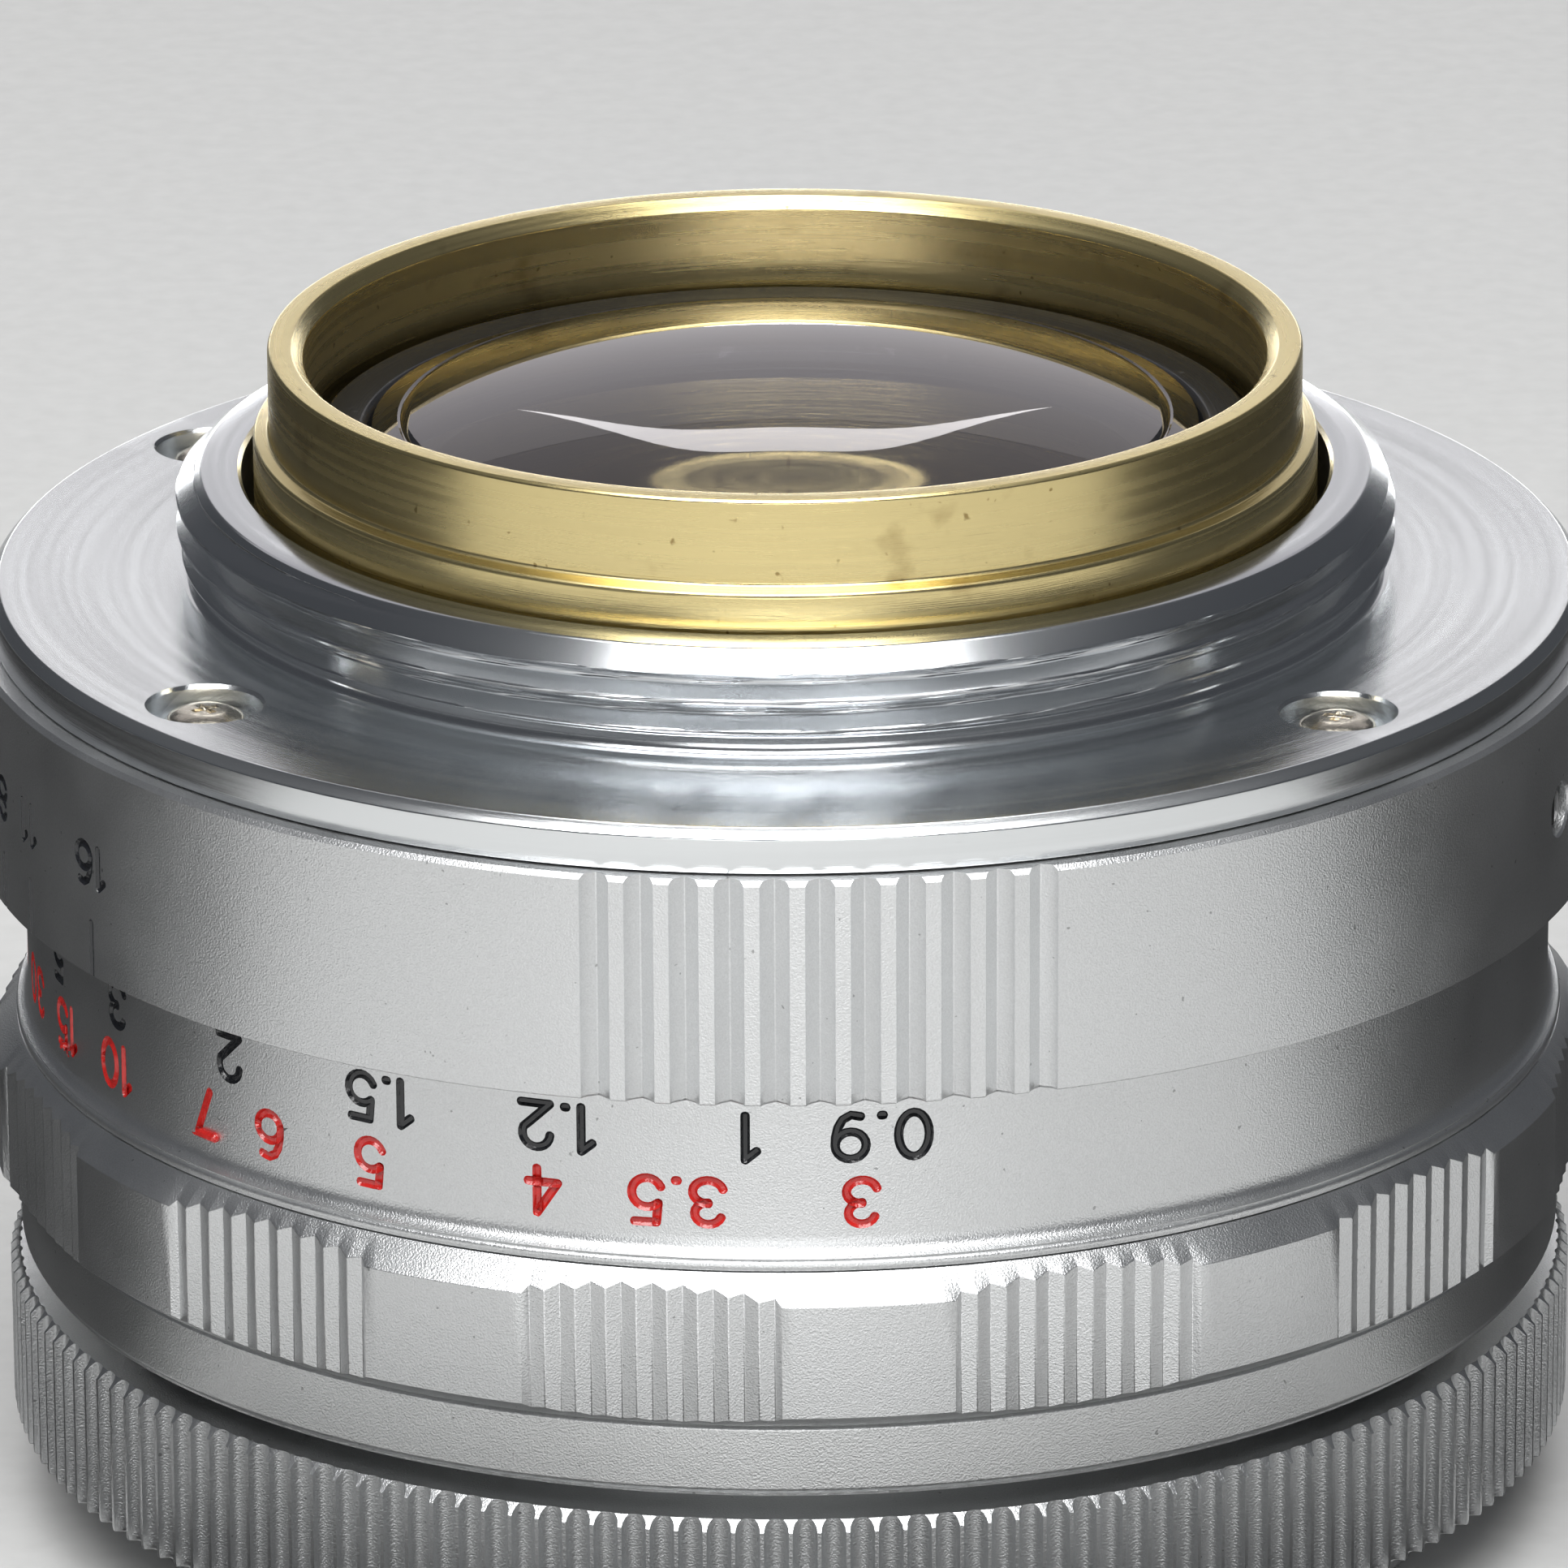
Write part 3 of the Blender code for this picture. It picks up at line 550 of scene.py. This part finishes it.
screw_look = steel("screw_steel", (0.86, 0.80, 0.68), 0.22)
for number, spot in enumerate(SCREW_BEARINGS, 1):
    screw = lathe(f"visual_flange_screw_{number}", rounded(
        [(0.001, -0.15, 0.0), (0.75, -0.17, 0.2), (1.2, -0.38, 0.12), (1.2, -0.75, 0.03),
         (0.6, -0.75, 0.03), (0.6, -4.2, 0.1), (0.001, -4.2, 0.0)], 0.03), even(48), False)
    cross = []
    for half in (0, 1):
        blade = box("cross", (1.5, 0.34, 0.8))
        for v in blade.data.vertices:
            if v.co.z < 0:
                v.co.x *= 0.45
                v.co.y *= 0.7
        blade.rotation_euler.z = math.radians(90.0 * half + 35.0 * number)
        cross.append(blade)
    carve(screw, join("cross", cross), own=True)
    screw.location = polar(SCREW_CIRCLE, spot, FLANGE)
    finish_piece(screw, f"flange_screw_{number}", "mount", screw_look)

# The cam: a brass tube with a wider foot and the key's slot at the back.
cam = lathe("visual_rangefinder_cam", rounded(
    [(15.75, CAM_TOP, 0.05), (16.42, CAM_TOP, 0.04), (16.5, CAM_TOP - 0.1, 0.04),
     (16.5, 35.72, 0.12), (16.95, 35.62, 0.08), (17.0, 35.5, 0.05), (17.0, 27.2, 0.1),
     (15.35, 27.2, 0.1), (15.35, CAM_TOP - 0.4, 0.05)]), even(360))
slot = box("slot", (2.0, 3.0, 9.0))
carve(cam, place(slot, 16.6, 180.0, 32.8 - 4.5))
finish_piece(cam, "rangefinder_cam", "rangefinder_cam", turned_metal(
    "cam_brass", (0.81, 0.67, 0.33), 0.27, 0.45, 0.000004, 0.6, (0.30, 0.20, 0.07)))

# Depth-of-field ring: ribs, index lines and numbers.
RING = 26.1
RING_TOP = 29.55
RING_LOW = 22.3
GROOVE_HALF = 0.455
GROOVE_DEPTH = 0.39
GROOVES = [-13.0 + 3.03 * i for i in range(11)]
GRUB_BEARINGS = (69.0, -111.0)
GRUB_HEIGHT = 25.8
STOP_TURN = 1.92  # degrees on each side of the index for each unit of the f-number
GROOVE_STEPS = (-1.0, -0.96, -0.88, -0.75, -0.5, -0.25, -0.08, -0.035,
                0.035, 0.08, 0.25, 0.5, 0.75, 0.88, 0.96, 1.0)


def groove_depth(bearing):
    """Depth of the thumb grooves at a bearing."""
    for middle in GROOVES:
        u = abs(math.radians(bearing - middle)) * RING / GROOVE_HALF
        if u < 1.0:
            return GROOVE_DEPTH * (0.75 * (1.0 - u) + 0.25 * (1.0 - u ** 6))
    return 0.0


def ring_outline(bearing):
    """The ring's section, whose top chamfer runs out where a groove cuts it."""
    depth = groove_depth(bearing)
    wall = RING - depth
    top = RING_TOP - max(0.0, 0.15 - depth)
    points = [(min(wall, RING - 0.15), RING_TOP), (wall - 0.001, top + 0.001), (wall, top - 0.02)]
    points += [(wall, RING_LOW + 0.10), (wall - 0.012, RING_LOW + 0.035),
               (wall - 0.04, RING_LOW + 0.01), (wall - 0.10, RING_LOW)]
    return points + [(25.02, RING_LOW), (25.0, RING_LOW + 0.03), (25.0, RING_TOP)]


ring_bearings = [b for b in even(720, -180.0) if b < -15.5 or b > 19.5]
for middle in GROOVES:
    ring_bearings += [middle + math.degrees(u * GROOVE_HALF / RING) for u in GROOVE_STEPS]
ring_bearings += [-15.5, -15.0, -14.5, 18.8, 19.2, 19.5]
depth_ring = lathe("visual_depth_scale_ring", ring_outline, sorted(ring_bearings))
letters = []
for stop in (4.0, 5.6, 8.0, 11.0, 16.0):
    for sign in (-1.0, 1.0):
        mark = INDEX + sign * STOP_TURN * stop
        letters.append(line(mark, RING_LOW - 0.3, 24.1, RING, 0.26))
        if stop != 5.6:
            aside = 1.1 if (stop, sign) == (11.0, -1.0) else 0.0  # clear of the grub screw
            letters += text(f"{stop:g}", mark + aside, 26.0, RING, 1.55, 0.27)
letters.append(line(INDEX, RING_LOW - 0.3, 26.6, RING, 0.34))
carve(depth_ring, join("letters", letters), BLACK_PAINT, own=True)
holes = []
for spot in GRUB_BEARINGS:
    hole = lathe("hole", [(0.0, 2.0), (0.98, 2.0), (0.98, 0.05), (0.85, -0.08), (0.85, -2.0),
                          (0.0, -2.0)], even(40), False)
    holes.append(place(hole, RING, spot, GRUB_HEIGHT, tilt=90.0))
carve(depth_ring, join("holes", holes))
finish_piece(depth_ring, "depth_scale_ring", "mount", satin("ring_satin"))

grub_look = black_anodised("grub_black", 0.3, (0.03, 0.03, 0.03))
for number, spot in enumerate(GRUB_BEARINGS, 1):
    grub = lathe(f"visual_grub_screw_{number}", rounded(
        [(0.001, 1.1, 0.0), (0.6, 1.1, 0.05), (0.7, 1.0, 0.05), (0.7, -1.1, 0.05),
         (0.001, -1.1, 0.0)], 0.03), even(32), False)
    place(grub, 24.75, spot, GRUB_HEIGHT, tilt=90.0)
    cutter = box("grub_slot", (0.26, 3.0, 0.8))
    place(cutter, 25.85, spot, GRUB_HEIGHT, tilt=90.0)
    carve(grub, cutter)
    finish_piece(grub, f"scale_ring_grub_screw_{number}", "mount", grub_look)

# Distance sleeve with its two rows of numbers.
SLEEVE = 24.6
METRES_ROW = 20.71
FEET_ROW = 18.57
FIGURE = 1.74
FOOT = 0.3048
NEAR_TURN = 84.3  # degrees from infinity for one metre; the turn falls with the distance
sleeve_outline = [
    (24.55, 24.4), (SLEEVE, 24.35), (SLEEVE, 21.6), (SLEEVE, 19.0), (SLEEVE, 17.5), (24.61, 17.30),
    (24.66, 17.12), (24.76, 16.98), (24.88, 16.90), (24.94, 16.86), (24.93, 16.81),
    (24.90, 16.79), (24.96, 16.76), (25.0, 16.70), (25.0, 16.60), (24.97, 16.49),
    (23.6, 16.48), (23.6, 24.4)]
sleeve = lathe("visual_distance_scale_sleeve", sleeve_outline, even(720))
METRES = (("0.9", 0.9), ("1", 1.0), ("1.2", 1.2), ("1.5", 1.5), ("2", 2.0), ("3", 3.0),
          ("5", 5.0), ("*", 0.0))
FEET = (("3", 3), ("3.5", 3.5), ("4", 4), ("5", 5), ("6", 6), ("7", 7), ("10", 10),
        ("15", 15), ("30", 30), ("*", 0))


def distance_bearing(metres):
    """Where a distance stands on the sleeve at rest; 0 stands for infinity."""
    return INDEX + (NEAR_TURN / metres if metres else 0.0)


black = [s for words, m in METRES
         for s in text(words, distance_bearing(m), METRES_ROW, SLEEVE, FIGURE)]
red = [s for words, f in FEET
       for s in text(words, distance_bearing(f * FOOT), FEET_ROW, SLEEVE, FIGURE)]
carve(sleeve, join("black", black), BLACK_PAINT, own=True)
carve(sleeve, join("red", red), RED_PAINT, own=True)
finish_piece(sleeve, "distance_scale_sleeve", "focus_ring", satin("sleeve_satin"))

# Focus grip: a bright shoulder, and twelve flat patches of V grooves.
GRIP = 25.8
PATCH_HALF = 4.06
V_PITCH = 0.955
V_DEPTH = 0.17
PATCH_STARTS = [-18.7 + 30.0 * k for k in range(12)]
PATCH_PLANE = math.sqrt(GRIP ** 2 - PATCH_HALF ** 2)
half_patch = math.degrees(math.atan2(PATCH_HALF, PATCH_PLANE))
patch_rows = [(-PATCH_HALF, 0.0)]
for k in range(-4, 5):
    for shift, depth in ((-0.03, 0.93), (0.0, 1.0), (0.03, 0.93)):
        patch_rows.append((k * V_PITCH + shift, -V_DEPTH * depth))
    if k < 4:
        for shift, depth in ((-0.04, 0.10), (0.0, 0.02), (0.04, 0.10)):
            patch_rows.append(((k + 0.5) * V_PITCH + shift, -V_DEPTH * depth))
patch_rows.append((PATCH_HALF, 0.0))
grip_columns = []
for start in PATCH_STARTS:
    middle = start + 9.12
    for x, depth in patch_rows:
        y = PATCH_PLANE + depth
        grip_columns.append((middle + math.degrees(math.atan2(x, y)), math.hypot(x, y)))
    land = 30.0 - 2.0 * half_patch
    for i in range(1, 12):
        grip_columns.append((middle + half_patch + land * i / 12, GRIP))
grip_columns.sort()
grip_radius = dict(grip_columns)


def grip_outline(bearing):
    """The grip's section, whose cones meet the knurl at its own radius."""
    r = grip_radius[bearing]
    cone = 16.45 - (r - 25.0) * 0.85 / 0.8
    points = [(24.9, 16.45), (25.0, 16.44), (r - 0.02, cone + 0.02), (r, cone - 0.02)]
    foot = 11.95 - max(0.0, GRIP - r) * 0.75
    points += [(r, foot), (r - 0.02, foot - 0.03), (25.2, 11.47), (25.1, 11.44)]
    return points + [(19.2, 11.8), (19.2, 15.1), (23.7, 15.1), (23.7, 16.45)]


grip = lathe("visual_focus_grip_ring", grip_outline, [b for b, _ in grip_columns])
holes = []
for k in range(3):
    hole = lathe("hole", [(0.0, 3.4), (0.75, 3.4), (0.75, 0.0), (1.3, 0.0), (1.3, -3.0),
                          (0.0, -3.0)], even(32), False)
    holes.append(place(hole, 21.4, 120.0 + 120.0 * k, 13.2))
carve(grip, join("holes", holes))
finish_piece(grip, "focus_grip_ring", "focus_ring", satin("grip_satin"))

# Pale band and its tube.
front = lathe("visual_front_barrel", rounded(
    [(24.85, 11.4, 0.05), (25.0, 11.25, 0.05), (25.0, 9.22, 0.1), (24.86, 9.1, 0.03),
     (24.86, 9.0, 0.03), (21.3, 9.0, 0.05), (21.3, 2.8, 0.05), (20.5, 2.8, 0.05),
     (20.5, 9.0, 0.1), (19.1, 9.0, 0.1), (19.1, 11.4, 0.05)]), even(360))
APERTURES = ("2.8", "4", "5.6", "8", "11", "16", "22")
APERTURE_STEP = 10.0
letters = [s for k, words in enumerate(APERTURES)
           for s in text(words, INDEX - APERTURE_STEP * k, 10.4, 25.0, 1.35, 0.22)]
carve(front, join("letters", letters), BLACK_PAINT, own=True)
slot_turns = range(-64, 5, 4)
band = [polar(22.0, 180.0 + b, 6.75) for b in slot_turns]
band += [polar(19.9, 180.0 + b, 6.75) for b in reversed(slot_turns)]
slot_verts = band + [p + Vector((0.0, 0.0, 1.6 * MM)) for p in band]
count = len(band)
slot_faces = [(i, (i + 1) % count, count + (i + 1) % count, count + i) for i in range(count)]
slot_faces += [tuple(range(count))[::-1], tuple(range(count, 2 * count))]
slot = mesh_object("coupling_slot", slot_verts, slot_faces)
clean(slot)
carve(front, slot)
well = lathe("well", [(0.0, 10.9), (0.8, 10.9), (0.8, 7.5), (0.0, 7.5)], even(24), False)
carve(front, place(well, 23.2, 220.0, 0.0))
finish_piece(front, "front_barrel", "optical_unit", satin("band_satin", (0.84, 0.85, 0.85)))

# Aperture ring: round flutes that cut its top chamfer.
APERTURE = 25.4
FLUTES = 180
FLUTE_STEPS = 10
RIDGE = 0.135  # half the width of the ridge between two flutes, in degrees
FLUTE_DEPTH = 0.38


def flute_radius(share):
    """Radius of the ring across a flute, from one edge (0) to the other (1)."""
    x = 2.0 * share - 1.0
    return APERTURE - FLUTE_DEPTH * math.sqrt(max(0.0, 1.0 - abs(x) ** 2.3))


aperture_columns = {}
for k in range(FLUTES):
    start = 360.0 * k / FLUTES - RIDGE
    aperture_columns[round(start, 6)] = APERTURE
    for i in range(FLUTE_STEPS + 1):
        share = 0.5 - 0.5 * math.cos(math.pi * i / FLUTE_STEPS)
        bearing = start + 2.0 * RIDGE + (360.0 / FLUTES - 2.0 * RIDGE) * share
        if i < FLUTE_STEPS:
            aperture_columns[round(bearing, 6)] = flute_radius(share)


def aperture_outline(bearing):
    """The aperture ring's section, whose chamfer ends at the flute's own radius."""
    r = aperture_columns[bearing]
    chamfer = 8.3 - max(0.0, r - 25.08)
    points = [(min(r, 25.08), 8.3), (r, chamfer - 0.005), (r, chamfer - 0.05)]
    points += [(r, 3.25), (r - 0.03, 3.1), (24.98, 3.02), (24.9, 3.0)]
    return points + [(21.62, 3.0), (21.6, 3.02), (21.6, 8.28), (21.62, 8.3)]


aperture = lathe("visual_aperture_ring", aperture_outline, sorted(aperture_columns))
hole = lathe("hole", [(0.0, 4.0), (0.6, 4.0), (0.6, -4.0), (0.0, -4.0)], even(24), False)
carve(aperture, place(hole, 23.5, 180.0, 7.55, tilt=90.0))
dot = lathe("dot", [(0.0, 1.0), (0.45, 1.0), (0.45, -0.55), (0.0, -0.6)], even(24), False)
carve(aperture, place(dot, APERTURE, INDEX, 6.9, tilt=90.0), BLACK_PAINT)
# This ring's satin is given a darker colour than the other rings; part of that darkening is painted
# shade, for the shadow low on the lens and the dark floor its flutes reflect.
finish_piece(aperture, "aperture_ring", "aperture_ring", satin("aperture_satin_with_painted_shade", (0.66, 0.67, 0.675)))


FILTER_PITCH = 0.5


def filter_outline(bearing):
    """The front rim; the filter thread runs up its bore."""
    points = rounded([(20.2, 5.0, 0.04), (20.2, 2.6, 0.0), (21.8, 2.6, 0.08), (22.0, 2.4, 0.05),
                      (22.0, 0.3, 0.08), (21.7, 0.0, 0.08), (19.75, 0.0, 0.05)], 0.04)
    for i in range(70):
        z = 0.12 + 3.2 * i / 69
        turn = z / FILTER_PITCH - bearing / 360.0
        saw = abs(2.0 * (turn % 1.0) - 1.0)
        points.append((19.4 + 0.26 * saw, z))
    return points + [(19.4, 3.5), (19.4, 5.0)]


rim = lathe("visual_filter_ring", filter_outline, even(300))
finish_piece(rim, "filter_ring", "optical_unit", satin("rim_satin", (0.72, 0.73, 0.735)))

trim_outline = [(19.1, 5.1), (19.1, 4.72)]
for k in range(10):
    r = 18.6 - 0.7 * k
    z = 4.66 + 0.022 * k
    trim_outline += [(r, z), (r - 0.1, z + 0.09), (r - 0.35, z + 0.09)]
trim_outline += [(11.5, 4.88), (11.4, 5.0), (11.4, 5.1)]
trim = lathe("visual_front_trim_ring", trim_outline, even(240))
finish_piece(trim, "front_trim_ring", "optical_unit", black_anodised("trim_black", 0.4))

housing = lathe("visual_rear_lens_housing", rounded(
    [(15.0, 34.9, 0.03), (15.0, 23.0, 0.05), (17.1, 23.0, 0.1), (17.1, 17.0, 0.1),
     (9.8, 17.0, 0.1), (9.8, 23.4, 0.05), (11.6, 23.4, 0.05), (11.6, 33.8, 0.05),
     (13.4, 33.8, 0.05), (13.4, 34.9, 0.03)]), even(300))
finish_piece(housing, "rear_lens_housing", "optical_unit", black_anodised("rear_black", 0.28))
retainer = lathe("visual_rear_retaining_ring", rounded(
    [(14.8, 35.6, 0.06), (15.0, 35.4, 0.06), (15.0, 35.0, 0.03), (13.4, 35.0, 0.03),
     (13.4, 35.45, 0.05), (13.6, 35.6, 0.05)]), even(300))
finish_piece(retainer, "rear_retaining_ring", "optical_unit", black_anodised("retainer_black", 0.2))
cell = lathe("visual_front_lens_housing", rounded(
    [(20.1, 6.3), (20.1, 5.3), (11.3, 5.3), (11.3, 8.5), (9.8, 8.5), (9.8, 12.7), (13.9, 12.7),
     (13.9, 6.3)]), even(240))
finish_piece(cell, "front_lens_housing", "optical_unit", black_anodised("front_black", 0.35))


def sag(radius, curvature):
    """Height of a spherical face above its middle."""
    depth = abs(curvature) - math.sqrt(curvature ** 2 - radius ** 2)
    return math.copysign(depth, curvature)


GLASS_EDGE = 12.3  # a fine ring on the rear glass
# Each glass: radius, height and curve of its rear face, height and curve of its front face.
GLASS = (("glass_1_front", 11.0, 7.6, 90.0, 4.75, 36.0), ("glass_2", 9.6, 10.6, 200.0, 8.2, 24.0),
         ("glass_3", 9.6, 11.2, 34.0, 10.65, 200.0), ("glass_4", 9.6, 19.3, -200.0, 18.6, -34.0),
         ("glass_5", 9.6, 22.6, -24.0, 19.35, -200.0), ("glass_6_rear", 13.2, 37.75, -45.0, 33.0, 80.0))
TINTS = {"glass_1_front": (0.55, 0.45, 0.75), "glass_6_rear": (0.72, 0.66, 0.74)}
for node, radius, rear, rear_curve, near, near_curve in GLASS:
    steps = [radius * i / 32 for i in range(33)]
    outline = [(r, rear + sag(r, rear_curve)) for r in steps]
    if node == "glass_6_rear":
        outline = [p for p in outline if abs(p[0] - GLASS_EDGE) > 0.15]
        groove = [(GLASS_EDGE + w, rear + sag(GLASS_EDGE + w, rear_curve) - d)
                  for w, d in ((-0.09, 0.0), (0.0, 0.06), (0.09, 0.0))]
        outline = sorted(outline + groove)
    outline += [(r, near + sag(r, near_curve)) for r in reversed(steps)]
    lens = lathe("visual_" + node, outline, even(144), False)
    look = coated_glass(node + "_coated", TINTS.get(node, (0.45, 0.62, 0.60)))
    finish_piece(lens, node, "optical_unit", look)

# The pieces that keep the plain mesh get their finish here.
blade_look = Look("blade_black", (0.02, 0.02, 0.022), 0.6, 0.5)
blade_grain = blade_look.noise(blade_look.object_vector(), 6000.0)
blade_look.link(blade_look.bump(blade_grain, 0.00001, 0.4), blade_look.shader.inputs["Normal"])
inner_steel = steel("inner_steel")
inner_brass = turned_metal("helicoid_brass", (0.78, 0.60, 0.26), 0.3, 0.5, 0.00001)
inner_satin = satin("inner_satin")
inner_black = black_anodised("inner_black", 0.5)
PLAIN = {"fixed_barrel": inner_satin, "focus_helicoid": inner_brass, "main_barrel": inner_satin,
         "helicoid_retaining_ring": inner_brass, "iris_base_plate": inner_black}
for name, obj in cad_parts.items():
    if obj.hide_render:
        continue
    look = PLAIN.get(name, blade_look.material if name.startswith("iris_blade") else inner_steel)
    obj.data.materials.clear()
    obj.data.materials.append(look)

# ---------------------------------------------------------------- stage

corners = [(-0.9, -0.7, 0.0), (0.9, -0.7, 0.0), (0.9, 0.9, 0.0), (-0.9, 0.9, 0.0)]
floor = mesh_object("floor", corners, [(0, 1, 2, 3)])
floor_look = Look("floor_paper", (0.62, 0.62, 0.61), 0.0, 0.8)
fibres = floor_look.noise(floor_look.object_vector(), 900.0, 5.0)
floor_look.link(floor_look.mix(fibres, (0.60, 0.60, 0.59), (0.64, 0.64, 0.63)),
                floor_look.shader.inputs["Base Color"])
floor.data.materials.append(floor_look.material)


def panel(name, place_at, aim, size, power, colour=(1.0, 1.0, 1.0)):
    """A soft studio light."""
    data = bpy.data.lights.new(name, "AREA")
    data.shape = "RECTANGLE"
    data.size, data.size_y = size
    data.energy = power
    data.color = colour
    lamp = bpy.data.objects.new(name, data)
    bpy.context.scene.collection.objects.link(lamp)
    lamp.location = place_at
    lamp.rotation_mode = "QUATERNION"
    lamp.rotation_quaternion = (Vector(aim) - Vector(place_at)).to_track_quat("-Z", "Y")
    return lamp


panel("key", (-0.05, -0.42, 0.62), (0.0, 0.0, 0.02), (0.60, 0.40), 6.2)
panel("top", (0.0, 0.0, 0.70), (0.0, 0.0, 0.02), (0.40, 0.30), 1.6)
panel("front", (0.0, -0.95, 0.10), (0.0, 0.0, 0.02), (0.6, 0.14), 1.2)
panel("back", (0.0, 0.90, 0.30), (0.0, 0.0, 0.03), (0.60, 0.50), 0.52, (1.0, 0.97, 0.99))
panel("back_high", (0.0, 0.62, 0.62), (0.0, 0.0, 0.03), (0.90, 0.36), 0.40, (1.0, 0.96, 1.0))
panel("back_low", (0.0, 0.95, 0.07), (0.0, 0.0, 0.02), (0.70, 0.12), 1.5)

# A curved strip that the rear glass shows as a white crescent.
CRESCENT_REACH = 0.7  # metres from the origin
CRESCENT_HALF = 10.2  # degrees to each side
CRESCENT_TIPS = 24.5  # degrees above the floor
CRESCENT_EDGES = (35.5, 39.8)


def crescent_point(share, middle):
    """A point on an edge of the strip, from one tip (-1) over the middle (0) to the other (1)."""
    bearing = math.radians(CRESCENT_HALF * share)
    height = math.radians(middle - (middle - CRESCENT_TIPS) * share ** 4)
    return CRESCENT_REACH * Vector((math.sin(bearing) * math.cos(height),
                                    math.cos(bearing) * math.cos(height), math.sin(height)))


shares = [i / 12 for i in range(-12, 13)]
strip = [crescent_point(t, middle) for middle in CRESCENT_EDGES for t in shares]
count = len(shares)
crescent = mesh_object("crescent_light", strip,
                       [(i, i + 1, count + i + 1, count + i) for i in range(count - 1)])
clean(crescent)
crescent_look = Look("crescent_glow", (0.0, 0.0, 0.0), 0.0, 1.0)
crescent_look.set("Emission Color", (1.0, 1.0, 1.0, 1.0))
crescent_look.set("Emission Strength", 3.5)
crescent.data.materials.append(crescent_look.material)
crescent.visible_camera = False
crescent.visible_diffuse = False
crescent.visible_shadow = False

# Dark paper round the lens that only its reflections can see.
CARDS = (("card_left", 24.0, 420.0, -156, -72), ("card_right", 24.0, 420.0, 72, 156),
         ("card_front", 26.0, 45.0, -66, 66))
for name, near_edge, far_edge, start, end in CARDS:
    bearings = [start + 6 * i for i in range((end - start) // 6 + 1)]
    wedge = [polar(near_edge, b, 0.4) for b in bearings]
    wedge += [polar(far_edge, b, 0.4) for b in reversed(bearings)]
    card = mesh_object(name, wedge, [tuple(range(len(wedge)))])
    card_look = Look(name + "_paper", (0.008, 0.008, 0.008), 0.0, 0.9)
    card.data.materials.append(card_look.material)
    card.visible_camera = False
    card.visible_diffuse = False
    card.visible_shadow = False
    card.visible_transmission = False

bpy.context.scene.view_settings.view_transform = "Standard"

world = bpy.data.worlds.new("studio")
world.use_nodes = True
sky = world.node_tree.nodes["Background"]
sky.inputs["Color"].default_value = (0.85, 0.90, 1.0, 1.0)
sky.inputs["Strength"].default_value = 0.07
bpy.context.scene.world = world

# ---------------------------------------------------------------- camera

CAMERA_AT = (0.0, -0.37915, 0.15846)
CAMERA_PITCH = 19.605
CAMERA_YAW = 0.0149
CAMERA_ROLL = -0.288

lens_data = bpy.data.cameras.new("camera")
lens_data.lens = 286.3
lens_data.sensor_width = 36.0
lens_data.clip_start = 0.01
camera = bpy.data.objects.new("camera", lens_data)
bpy.context.scene.collection.objects.link(camera)
camera.location = CAMERA_AT
aim = Matrix.Rotation(math.radians(CAMERA_YAW), 3, "Z")
aim = aim @ Matrix.Rotation(math.radians(90.0 - CAMERA_PITCH), 3, "X")
aim = aim @ Matrix.Rotation(math.radians(CAMERA_ROLL), 3, "Z")
camera.rotation_euler = aim.to_euler()
bpy.context.scene.camera = camera
